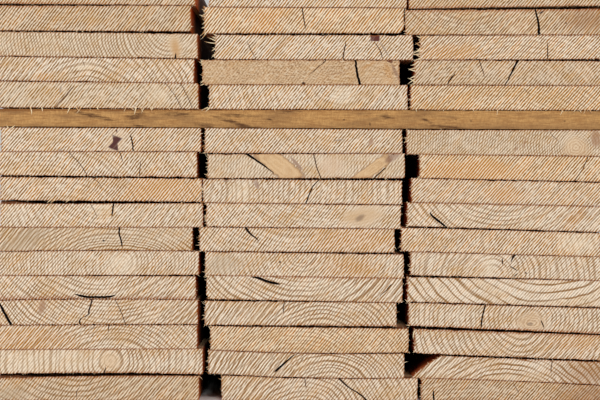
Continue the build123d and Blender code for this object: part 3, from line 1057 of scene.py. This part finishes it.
def closed_up(edges, above, closing):
    """A section whose upper edge rises by a share of the gap to the board above it, and its sides with it.

    The share goes evenly from its value at the left to the one at the right; on the sides the rise grows
    evenly from nothing at the bottom.
    """
    if above is None:
        return edges
    gap = np.interp(edges.upper[:, 0], *above.lower.T) - edges.upper[:, 1]
    width = np.ptp(edges.upper[:, 0])
    rise = np.interp((edges.upper[:, 0] - edges.upper[0, 0]) / width, [0, 1], closing) * gap.clip(0)
    upper = edges.upper + np.stack([0 * rise, rise], axis=1)
    sides = []
    for side, lift in ((edges.left, rise[0]), (edges.right, rise[-1])):
        share = (side[:, 1] - side[0, 1]) / (side[-1, 1] - side[0, 1])
        sides.append(side + np.stack([0 * share, lift * share], axis=1))
    return Edges(edges.lower, upper, *sides)


# How far behind the ends the joints' mouths have closed, in mm
MOUTH_LENGTH = 45.0
# How far from the middle, in mm, the joints start to close sooner and do so wholly, and the painted
# shade on the gaps' faces ends
NEAR_SIDE, AT_SIDE, IN_GAPS = 265.0, 290.0, 285.0


def inset(flat, edges):
    """How far each place of an end lies inside the nearest of its edges."""
    x, z = flat[..., 0], flat[..., 1]
    return np.minimum.reduce([
        z - np.interp(x, *edges.lower.T), np.interp(x, *edges.upper.T) - z,
        x - np.interp(z, *edges.left.T[::-1]), np.interp(z, *edges.right.T[::-1]) - x])


def board_ends(shell, edges, above, near, far, look, joint_above, seed, sizes):
    """A board's torn near end with its cracks, and its torn far end: their points, and the near one's grid.

    Each end is a Coons patch of its torn outline, set back at its rim and in its cracks, and a little hollow.
    """
    torn_depth, worn = sizes.torn_depth / MM, sizes.worn_edge / MM
    pressed = closed_up(edges, above, [0.8 * max(-gape, 0.0) for gape in joint_above])
    near_edges = torn(pressed, torn_depth, seed, (look.joint, joint_above))
    far_edges = torn(edges, torn_depth, seed + 50, SHUT)
    grid, plain = end_lines(edges, look.cracks), end_lines(edges, ())
    rim = rim_of(ACROSS, UP)
    flat = filled(near_edges, grid.u, grid.v)
    # painted shade along the end's torn edges
    rim_shade = (1 - inset(flat, near_edges) / RIM_WIDTH).clip(0, 1).ravel()
    worn_here = worn * (0.9 + 0.5 * ripple(flat, 4.0, seed + 3))
    hollow = 0.12 * (1 + ripple(flat, 26.0, seed + 4)) + 0.05 * (1 + ripple(flat, 3.0, seed + 5))
    set_back = hollow.clip(0) + rim * worn_here.clip(0.1) + grid.depth ** 2 * sizes.crack_depth / MM
    near_end = standing(flat, near + set_back).reshape(-1, 3)
    flat_far = filled(far_edges, plain.u, plain.v)
    set_far = 0.2 + 0.15 * ripple(flat_far, 9.0, seed + 6) + rim * worn
    far_end = standing(flat_far, far - set_far.clip(0)).reshape(-1, 3)

    faces = grid_faces(ACROSS, UP)
    low, high = flat.reshape(-1, 2).min(axis=0), flat.reshape(-1, 2).max(axis=0)
    for end, corners, strip, dark in ((near_end, faces, NEAR_STRIP, grid.dark.ravel()),
                                      (far_end, faces[:, ::-1], FAR_STRIP, 0.0)):
        shares = ((end[:, [0, 2]] - low) / (high - low)).clip(0, 1)
        places = into_strip(strip, *shares[corners].transpose(2, 0, 1))
        shell.add(end, corners, END_GRAIN, places, rim_shade, dark)
    return near_end, far_end, grid


def long_faces(shell, edges, above, near_end, far_end, grid, length, seed, sizes):
    """A board's long faces, which carry the outline from the near rim to the far one and so close the skin.

    Each ring of points is a station, a share of the way. Near the ends its outline is the torn one, beyond
    them the sound one, with the joint over the board closing behind its mouth. The faces wander inwards a
    little.
    """
    border, run = perimeter(ACROSS, UP)
    torn_length = sizes.torn_length / MM
    behind = closed_up(edges, above, (JOINT_CLOSING, JOINT_CLOSING))
    sound, closed = (filled(one, grid.u, grid.v).reshape(-1, 2)[border] for one in (edges, behind))
    near_rim, far_rim = near_end[border], far_end[border]
    inner = np.array([
        1.5, 4.0, torn_length, 22.0, MOUTH_LENGTH, 0.25 * length, 0.5 * length, 0.75 * length,
        length - MOUTH_LENGTH, length - 22.0, length - torn_length, length - 1.5])
    # the joints close sooner at the stack's sides, where they would be seen through
    closing = np.interp(
        inner, [torn_length, MOUTH_LENGTH, length - MOUTH_LENGTH, length - torn_length], [0.0, 1.0, 1.0, 0.0])
    soon = np.interp(inner, [0.0, 3.0, length - 3.0, length], [0.0, 1.0, 1.0, 0.0])
    outer = np.interp(abs(sound[:, 0]), [NEAR_SIDE, AT_SIDE], [0.0, 1.0])
    closing = (closing[:, None] * (1 - outer) + soon[:, None] * outer)[..., None]
    near_share = np.interp(inner, [0, torn_length], [1.0, 0.0]) ** 1.5
    far_share = np.interp(inner, [length - torn_length, length], [0.0, 1.0]) ** 1.5
    inward = INWARD[run]
    at_corners = np.flatnonzero(run != np.roll(run, 1))
    arris_in = np.zeros((len(border), 2))
    arris_in[at_corners] = CORNER_INWARD * sizes.worn_arris / MM
    stations = []
    for place, near_part, far_part, close_part in zip(inner, near_share, far_share, closing):
        middle = sound * (1 - close_part) + closed * close_part
        calm = 1 - near_part - far_part
        outline = middle * calm + near_rim[:, [0, 2]] * near_part + far_rim[:, [0, 2]] * far_part
        where = np.concatenate([outline / 40, np.full((len(outline), 1), place / 300)], axis=1)
        wander = (0.5 + 0.5 * ripple(where, 1.0, seed + 8)).clip(0, 1.4) * sizes.rough_face / MM
        outline = outline + (inward * wander[:, None] + arris_in) * calm
        share = place / length
        stations.append(standing(outline, near_rim[:, 1] * (1 - share) + far_rim[:, 1] * share))
    own = np.concatenate(stations)

    finish = np.full((len(inner) + 1, len(border)), LONG_FACE)
    leaning = np.abs(np.roll(sound, -1, axis=0) - sound)
    is_bark = (run == wane_run(edges)) & (leaning[:, 0] > 0.15 * leaning[:, 1])
    finish[:, is_bark] = BARK
    # painted shade: brown behind the mouths of the joints and along the arrises, and dark in the gaps
    # between the columns
    is_side = run % 2 == 1
    mouth_share = np.where(is_side, 0.3, 0.0 if above is None else 1.0)
    mouths = np.interp(inner, [0.0, torn_length, MOUTH_LENGTH], [0.95, 0.9, 0.0])[:, None] * mouth_share
    to_arris = np.linalg.norm(sound[:, None] - sound[at_corners][None], axis=2).min(axis=1)
    patchy = 0.8 + 0.3 * ripple(own[:, 1:2].reshape(len(inner), -1, 1), 90.0, seed + 9)
    arris = 0.8 * (1 - to_arris / 1.5).clip(0, 1) * patchy
    in_gap = is_side & (abs(sound[:, 0]) < IN_GAPS)
    in_depth = np.interp(inner, [MOUTH_LENGTH, 0.25 * length, 0.5 * length], [0.96, 0.9, 0.0])
    darkness = in_depth[:, None] * in_gap
    steps = np.concatenate([[0.0], inner / length, [1.0]])
    start = np.concatenate([np.arange(ACROSS) / ACROSS, np.arange(UP) / UP] * 2)
    end = np.concatenate([(np.arange(ACROSS) + 1) / ACROSS, (np.arange(UP) + 1) / UP] * 2)
    shell.add(own, skin_faces(border, len(own), len(near_end)), finish.ravel(),
              skin_map(steps, start, end, *np.array(RUN_STRIPS)[run].T),
              np.maximum(mouths, arris).clip(0, 1).ravel(), darkness.ravel())


def add_splinters(shell, roots, heading, lengths, widths, bend):
    """Tapered, bent slivers with three sides.

    A sliver's axis is root + heading x length x t + bend x t squared, t from 0 to 1. Its radius falls with t.
    """
    if not len(roots):
        return
    t = np.array([0.0, 0.35, 0.7])
    axis = (roots[:, None] + heading[:, None] * lengths[:, None, None] * t[:, None]
            + bend[:, None] * (t ** 2)[:, None])
    tip = roots + heading * lengths[:, None] + bend
    side = np.cross(heading, [0.0, 1.0, 0.0])
    side /= np.linalg.norm(side, axis=1, keepdims=True)
    other = np.cross(heading, side)
    turn = np.array([0, 2 * math.pi / 3, 4 * math.pi / 3])
    round_ = side[:, None] * np.cos(turn)[:, None] + other[:, None] * np.sin(turn)[:, None]
    radius = widths[:, None] / 2 * (1 - t) ** 0.6
    rings = axis[:, :, None] + round_[:, None] * radius[:, :, None, None]
    points = np.concatenate([rings.reshape(len(roots), 9, 3), tip[:, None]], axis=1).reshape(-1, 3)
    sliver = [(0, 2, 1)]
    for level in (0, 3):
        for k in range(3):
            a, b = level + k, level + (k + 1) % 3
            sliver += [(a, b, b + 3), (a, b + 3, a + 3)]
    sliver += [(6, 7, 9), (7, 8, 9), (8, 6, 9)]
    sliver = np.array(sliver)
    faces = (sliver[None] + 10 * np.arange(len(roots))[:, None, None]).reshape(-1, 3)
    spot = into_strip(SPLINTER_STRIP, np.linspace(0.02, 0.98, len(roots)), np.full(len(roots), 0.5))
    map_corners = np.repeat(spot, len(sliver), axis=0)[:, None] + np.array([[0, 0], [0.004, 0], [0, 0.008]])
    shell.add(points, faces, SPLINTER, map_corners)


# How many of a near end's splinters its lower, right, upper and left edge have, against each other
SPLINTER_SHARES = np.array([1.0, 0.3, 0.12, 3.0])
OUTWARD = np.array([[0.0, 0.0, -1.0], [1.0, 0.0, 0.0], [0.0, 0.0, 1.0], [-1.0, 0.0, 0.0]])
ALONG_EDGE = abs(OUTWARD[[1, 0, 1, 0]])


def edge_splinters(shell, near_end, seed, sizes):
    """Splinters on a near end's lower and left edges, where the saw left the wood, and a few elsewhere."""
    dice = np.random.default_rng(seed)
    border, run = perimeter(ACROSS, UP)
    weight = SPLINTER_SHARES[run]
    count = sizes.splinters
    chosen = dice.choice(len(border), count, p=weight / weight.sum())
    own_run = run[chosen]
    out, along_edge = OUTWARD[own_run], ALONG_EDGE[own_run]
    roots = near_end[border[chosen]] - out * 0.5 + along_edge * dice.uniform(-0.8, 0.8, (count, 1))
    roots[:, 1] += dice.uniform(0.1, 1.2, count)
    length = sizes.splinter_length / MM * dice.gamma(1.3, 0.2, count).clip(0.12, 1.0)
    length = np.where(own_run % 2 == 0, length.clip(0, 2.6), length)
    heading = out + along_edge * dice.normal(0, 0.45, (count, 1))
    heading[:, 1] += dice.uniform(0.0, 0.25, count)
    heading /= np.linalg.norm(heading, axis=1, keepdims=True)
    width = dice.uniform(0.35, 0.9, count) * np.where(own_run == 3, 1.6, 1.0)
    bend = along_edge * dice.normal(0, 0.35, (count, 1)) * length[:, None]
    tips = roots + heading * length[:, None] + bend
    keep = np.all((tips > BOX[0] + 0.3) & (tips < BOX[1] - 0.3) & (roots > BOX[0] + 0.3), axis=1)
    add_splinters(shell, roots[keep], heading[keep], length[keep], width[keep], bend[keep])


# Long loose fibres on the near ends: where each leaves its board, and how far it runs right and down
WISPS = {
    "board_left_12": ((31, 107.4, 0.6, 9.5), (42.5, 107.2, 1.2, 9.0), (71, 107.5, -2.5, 5.5),
        (77, 107.5, 4.0, 4.0), (82, 107.2, -4.5, 6.0), (98, 107.5, 1.0, 3.0), (127, 107.4, -2.0, 4.5),
        (131, 107.6, 3.2, 2.6), (137, 107.5, -1.4, 6.5), (141, 107.6, 2.4, 4.0), (145, 107.5, -2.2, 5.5),
        (151, 107.4, 1.8, 5.5), (154, 107.6, -1.6, 3.5), (169, 107.5, 1.6, 2.4)),
    "board_middle_12": ((211.5, 107.4, -4.5, 4.2), (208.8, 107.6, -5.5, 3.0), (230, 107.8, 0.8, 2.0),
        (275.6, 107.8, 0.6, 4.0), (243, 107.6, 1.5, 2.6), (262, 107.8, -1.2, 2.2), (310, 108.0, -1.0, 2.0),
        (352, 108.2, 1.4, 2.2)),
    "board_right_12": ((498.4, 108.6, -0.6, 6.4), (474, 108.4, 0.8, 3.2), (417, 108.2, 0.6, 3.4),
        (444, 108.4, 0.7, 3.0), (564.6, 108.8, -2.6, 6.0), (561, 108.8, 3.0, 3.0), (577, 109.0, -3.0, 3.6),
        (580, 109.0, 2.6, 4.6), (586, 109.0, -1.8, 5.0), (590, 109.0, 2.0, 4.0), (520, 108.7, 1.2, 2.2)),
    "board_left_11": ((9.5, 128.6, -2.0, -3.6), (12.5, 128.8, 3.0, -2.6)),
    "board_middle_15": ((205.8, 14.0, -3.0, 3.0), (205.8, 17.0, -4.6, -1.6), (205.9, 22.0, -2.4, 2.6),
        (206.2, 31.0, -4.6, 4.6), (206.4, 33.0, -4.0, 5.6), (205.9, 27.0, -3.0, 1.4),
        (205.8, 11.0, -2.6, -1.4)),
    "board_middle_14": ((216.6, 41.0, -7.0, -3.0), (216.6, 43.5, -9.5, -1.6), (216.6, 49.0, -3.4, 2.2),
        (216.6, 38.0, -4.0, -1.0), (216.6, 55.0, -3.6, 2.4)),
    "board_middle_13": ((204.6, 81.0, -2.6, 2.4), (204.2, 64.0, -2.0, 1.6), (204.8, 84.0, -3.0, 1.6)),
    "board_right_14": ((421.8, 38.0, -3.6, -1.6), (421.8, 42.0, -5.0, 2.6), (421.6, 46.0, -4.2, -2.6),
        (421.8, 50.0, -8.6, 4.6), (421.8, 54.0, -7.6, 1.0), (421.8, 57.0, -6.0, -2.4),
        (421.6, 48.0, -3.0, 2.6), (421.6, 59.0, -5.0, 1.4)),
    "board_right_13": ((416.2, 64.0, -4.0, 1.6), (416.2, 68.0, -5.4, 2.0), (416.0, 71.0, -5.6, -1.6),
        (416.2, 76.0, -4.6, 2.4), (416.2, 79.0, -6.4, 4.6), (416.0, 82.0, -6.4, -3.0),
        (416.2, 83.0, -4.6, 1.8)),
    "board_right_11": ((407.8, 141.0, -2.6, 2.0),),
    "board_right_04": ((415.4, 331, -0.8, 7.5), (418, 331, 1.6, 5.0), (421.6, 330.6, 1.2, 5.6),
        (426, 330.6, -2.0, 4.6), (431, 330.8, 1.6, 4.6), (437, 331, -1.2, 3.6)),
    "board_left_08": ((52, 199.6, -3.6, 3.0), (56, 199.6, -4.0, 3.4), (70, 199.8, -3.0, 2.6),
        (183, 202.8, -2.4, 2.8)),
}


# How much further than its place in the table says a loose fibre runs
WISP_REACH = 1.25


def add_wisps(shell, name, near, seed):
    """The board's own loose fibres, each an arc from its place to its reach."""
    x, y, right, down = np.array(WISPS[name], float).T
    dice = np.random.default_rng(seed)
    x, z = on_end(x, y)
    count = len(x)
    roots = np.stack([x, near + dice.uniform(0.05, 0.5, count), z + 0.4], axis=1)
    forward = BOX[0, 1] + dice.uniform(0.5, 0.9, count) - roots[:, 1]
    reach = np.stack([WISP_REACH * right, forward, -WISP_REACH * down], axis=1)
    length = np.linalg.norm(reach, axis=1)
    bend = np.stack([dice.normal(0, 0.22, count), np.zeros(count), dice.normal(0, 0.1, count)], axis=1)
    bend = bend * length[:, None]
    straight = reach - bend
    length = np.linalg.norm(straight, axis=1)
    add_splinters(shell, roots, straight / length[:, None], length, dice.uniform(1.3, 1.9, count), bend)


def node_points(name):
    """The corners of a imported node's mesh, in millimetres."""
    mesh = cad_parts[name].data
    points = np.empty(len(mesh.vertices) * 3)
    mesh.vertices.foreach_get("co", points)
    return points.reshape(-1, 3) / MM


def end_at(points, level):
    """The points of the end at a level of the length's axis."""
    return points[np.isclose(points[:, 1], level, atol=0.02)]


# From this lean on, in mm, a side is taken for the log's round
LEAST_WANE = 1.5


def wane_run(edges):
    """Which side's run has the log's round, the one that leans furthest over, or -1 if none does."""
    reach = [np.ptp(edge[:, 0]) for edge in (edges.right, edges.left)]
    return (1, 3)[int(np.argmax(reach))] if max(reach) >= LEAST_WANE else -1


def board_edges(name):
    """A packed board's section, and where its two ends are."""
    points = node_points(name)
    near, far = points[:, 1].min(), points[:, 1].max()
    return section_edges(end_at(points, near)[:, [0, 2]]), near, far


def make_board(name, name_above, look, joint_above, saw_slope, seed, shared, sizes):
    """Dress a board: its skin, splinters, fibres and finishes, of which only the end's is its own."""
    edges, near, far = board_edges(name)
    above = board_edges(name_above)[0] if name_above else None
    shell = Shell()
    near_end, far_end, grid = board_ends(shell, edges, above, near, far, look, joint_above, seed, sizes)
    long_faces(shell, edges, above, near_end, far_end, grid, far - near, seed, sizes)
    edge_splinters(shell, near_end, seed + 77, sizes)
    if name in WISPS:
        add_wisps(shell, name, near, seed + 5)
    heart = (*on_end(*look.heart), float(seed % 97))
    finishes = [end_grain(f"{name}_end", look, saw_slope, float(seed % 89), sizes), *shared]
    piece = shell.mesh(f"{name}_sawn", finishes, heart)
    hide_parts(name)
    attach(piece, "root")


# The steps of a stick's ends and length, how far in the first lines lie in mm, and the ends' map place
STICK_ACROSS, STICK_UP, STICK_STATIONS = 16, 8, 170
STICK_RIM = (0.0, 0.5, 1.6)
STICK_END_MAP = ((0.01, 0.01), (0.04, 0.01), (0.04, 0.04), (0.01, 0.04))


def make_stick(name, finish, seed):
    """A spacer stick: a section that changes evenly along it, with worn edges and slightly wandering faces.

    It is worked out lying along Y, as the boards are, and turned a quarter to lie along X.
    """
    points = node_points(name)
    turned = np.stack([-points[:, 1], points[:, 0], points[:, 2]], axis=1)
    near, far = turned[:, 1].min(), turned[:, 1].max()
    sections = [section_edges(end_at(turned, level)[:, [0, 2]]) for level in (near, far)]
    size = np.ptp(turned, axis=0)
    u, v = np.meshgrid(
        spread(size[0], STICK_ACROSS, STICK_RIM), spread(size[2], STICK_UP, STICK_RIM), indexing="ij")
    border, run = perimeter(STICK_ACROSS, STICK_UP)
    rim = rim_of(STICK_ACROSS, STICK_UP)
    faces = grid_faces(STICK_ACROSS, STICK_UP)
    shell = Shell()
    ends, flats = [], []
    for edges, level, way in zip(sections, (near, far), (1, -1)):
        flat = filled(edges, u, v)
        flats.append(flat.reshape(-1, 2)[border])
        centre = flat.reshape(-1, 2).mean(axis=0)
        flat = flat + (centre - flat) * (rim * 0.02)[..., None]
        back = 0.15 + 0.1 * ripple(flat, 5.0, seed + way) + rim * 0.5
        ends.append(standing(flat, level + way * back.clip(0)).reshape(-1, 3))
        shell.add(ends[-1], faces[:, ::way], 0, np.broadcast_to(STICK_END_MAP, (len(faces), 4, 2)))
    share = np.concatenate([[0.001], np.linspace(0.006, 0.994, STICK_STATIONS), [0.999]])[:, None, None]
    outline = flats[0] * (1 - share) + flats[1] * share
    where = np.concatenate([outline, np.broadcast_to(share * (far - near), (*outline.shape[:2], 1))], axis=2)
    inward = INWARD[run]
    is_corner = run != np.roll(run, 1)
    inward[is_corner] = CORNER_INWARD * 0.9
    slow = where * [0.3, 0.02, 0.3]
    torn_here = (1 + ripple(where, 6.0, seed + 1)) * (0.4 + 0.9 * is_corner)
    wander = 0.16 * (1 + ripple(slow, 1.0, seed)) + 0.14 * torn_here
    outline = outline + inward * wander.clip(0, 1.2)[..., None]
    y = ends[0][border, 1] * (1 - share[..., 0]) + ends[1][border, 1] * share[..., 0]
    own = standing(outline, y).reshape(-1, 3)
    steps = np.concatenate([[0.0], share[:, 0, 0], [1.0]])
    bands = np.linspace(0.06, 1.0, len(border) + 1)
    shell.add(own, skin_faces(border, len(own), len(ends[0])), 0, skin_map(steps, bands[:-1], bands[1:]))
    shell.points = [np.stack([part[:, 1], -part[:, 0], part[:, 2]], axis=1) for part in shell.points]
    piece = shell.mesh(f"{name}_worn", [finish], (0.0, 0.0, 0.0))
    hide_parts(name)
    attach(piece, "root")


# Operators


# How much the saw lines' slope changes from board to board, in degrees
SLOPE_CHANGE = 1.5


def column_of_boards(context, column):
    """Dress one column's boards, from the top course down."""
    sizes, colours = context.scene.stack_sizes, context.scene.stack_colours
    shared = [bpy.data.materials.get("sawn_face") or sawn_face(),
              bpy.data.materials.get("bark") or bark_finish(colours),
              bpy.data.materials.get("splinter") or splinter_finish(colours)]
    joint_above = SHUT[1]
    for row, look in enumerate(LOOKS[column]):
        course = COURSES - row
        above = f"board_{column}_{course + 1:02d}" if course not in (COURSES_UNDER_STICKS, COURSES) else None
        slope = SAW_SLOPES[column] + SLOPE_CHANGE * math.sin(2.3 * row)
        seed = SEEDS[column] + BOARD_SEED_STEP * row
        make_board(f"board_{column}_{course:02d}", above, look, joint_above, slope, seed, shared, sizes)
        joint_above = look.joint
    return {"FINISHED"}


class TIMBER_OT_left_boards(bpy.types.Operator):
    """Make the sixteen boards of the left column."""

    bl_idname = "timber.left_boards"
    bl_label = "Left Boards"

    def execute(self, context):
        return column_of_boards(context, "left")


class TIMBER_OT_middle_boards(bpy.types.Operator):
    """Make the sixteen boards of the middle column."""

    bl_idname = "timber.middle_boards"
    bl_label = "Middle Boards"

    def execute(self, context):
        return column_of_boards(context, "middle")


class TIMBER_OT_right_boards(bpy.types.Operator):
    """Make the sixteen boards of the right column."""

    bl_idname = "timber.right_boards"
    bl_label = "Right Boards"

    def execute(self, context):
        return column_of_boards(context, "right")


class TIMBER_OT_spacer_sticks(bpy.types.Operator):
    """Make the five spacer sticks across the stack."""

    bl_idname = "timber.spacer_sticks"
    bl_label = "Spacer Sticks"

    def execute(self, context):
        colours = context.scene.stack_colours
        near = stick_finish(colours, "near_stick", STICK_STAINS, 0.0)
        others = stick_finish(colours, "spacer_stick", (), 5.3)
        for number in range(1, 6):
            finish = near if number == 1 else others
            make_stick(f"spacer_stick_{number}", finish, SEEDS["sticks"] + STICK_SEED_STEP * number)
        return {"FINISHED"}


# The floor's half size, the world's light, and the lamps: heading and tilt in degrees, strength and softness
FLOOR_HALF = 60.0
WORLD_LIGHT = 0.57
LAMPS = {"key": (7.0, 62.0, 1.4, 14.0), "back_fill": (-150.0, 52.0, 1.0, 30.0)}

# The camera looks level at the near ends, where its view is as wide as the picture; metres, sensor in mm
CAMERA_PLACE = (-0.0045, -3.8, 0.2008)
CAMERA_RISE = 0.006
NEAR_FACE = -1.2
PICTURE_WIDTH = 0.6
SENSOR = 36.0


class TIMBER_OT_stage(bpy.types.Operator):
    """Make the floor, the lights and the camera."""

    bl_idname = "timber.stage"
    bl_label = "Stage"

    def execute(self, context):
        scene = context.scene
        mesh = bpy.data.meshes.new("floor")
        corners = [(x * FLOOR_HALF, y * FLOOR_HALF, 0) for x, y in ((-1, -1), (1, -1), (1, 1), (-1, 1))]
        mesh.from_pydata(corners, [], [(0, 1, 2, 3)])
        floor = bpy.data.objects.new("floor", mesh)
        scene.collection.objects.link(floor)
        recipe = Recipe("floor")
        x, y, z = recipe.place()
        cloud = recipe.noise(x / 900, y / 900, z, 3.0)
        colour = recipe.layered(tuple(scene.stack_colours.stage), (cloud * 0.12, (206, 204, 200)))
        mesh.materials.append(recipe.finish(colour, 0.9))

        world = bpy.data.worlds.new("stage_world")
        world.use_nodes = True
        background = world.node_tree.nodes["Background"].inputs
        background["Color"].default_value = linear((250, 250, 250))
        background["Strength"].default_value = WORLD_LIGHT
        scene.world = world
        for name, (heading, tilt, strength, softness) in LAMPS.items():
            lamp = bpy.data.lights.new(name, "SUN")
            lamp.energy, lamp.angle = strength, math.radians(softness)
            holder = bpy.data.objects.new(name, lamp)
            scene.collection.objects.link(holder)
            holder.rotation_euler = (math.radians(tilt), 0.0, math.radians(heading))
        camera_data = bpy.data.cameras.new("camera")
        camera_data.sensor_width = SENSOR
        camera_data.lens = SENSOR * (NEAR_FACE - CAMERA_PLACE[1]) / PICTURE_WIDTH
        camera = bpy.data.objects.new("camera", camera_data)
        # a little over the picture's middle, so that no joint is seen through, with the lens shifted back
        camera.location = (*CAMERA_PLACE[:2], CAMERA_PLACE[2] + CAMERA_RISE)
        camera_data.shift_y = -CAMERA_RISE / PICTURE_WIDTH
        camera.rotation_euler = (math.pi / 2, 0.0, 0.0)
        scene.collection.objects.link(camera)
        scene.camera = camera
        scene.view_settings.view_transform = "Standard"
        return {"FINISHED"}


STEPS = (TIMBER_OT_left_boards, TIMBER_OT_middle_boards, TIMBER_OT_right_boards, TIMBER_OT_spacer_sticks,
         TIMBER_OT_stage)


class TIMBER_PT_stack(bpy.types.Panel):
    """The steps, sizes and colours of the stack."""

    bl_idname = "TIMBER_PT_stack"
    bl_label = "Stack of Sawn Boards"
    bl_space_type = "VIEW_3D"
    bl_region_type = "UI"
    bl_category = "Timber"

    def draw(self, context):
        for step in STEPS:
            self.layout.operator(step.bl_idname)
        for group in (context.scene.stack_sizes, context.scene.stack_colours):
            for key in group.__annotations__:
                self.layout.prop(group, key)


CLASSES = (StackSizes, StackColours, *STEPS, TIMBER_PT_stack)


def register():
    """Register the classes and hang the sizes and colours on the scene."""
    for kind in CLASSES:
        bpy.utils.register_class(kind)
    bpy.types.Scene.stack_sizes = bpy.props.PointerProperty(type=StackSizes)
    bpy.types.Scene.stack_colours = bpy.props.PointerProperty(type=StackColours)


def unregister():
    """Take back what register did, in the opposite order."""
    del bpy.types.Scene.stack_colours
    del bpy.types.Scene.stack_sizes
    for kind in reversed(CLASSES):
        bpy.utils.unregister_class(kind)


def main():
    register()
    bpy.ops.timber.left_boards()
    bpy.ops.timber.middle_boards()
    bpy.ops.timber.right_boards()
    bpy.ops.timber.spacer_sticks()
    bpy.ops.timber.stage()
    bpy.context.view_layer.update()


if __name__ == "__main__":
    main()
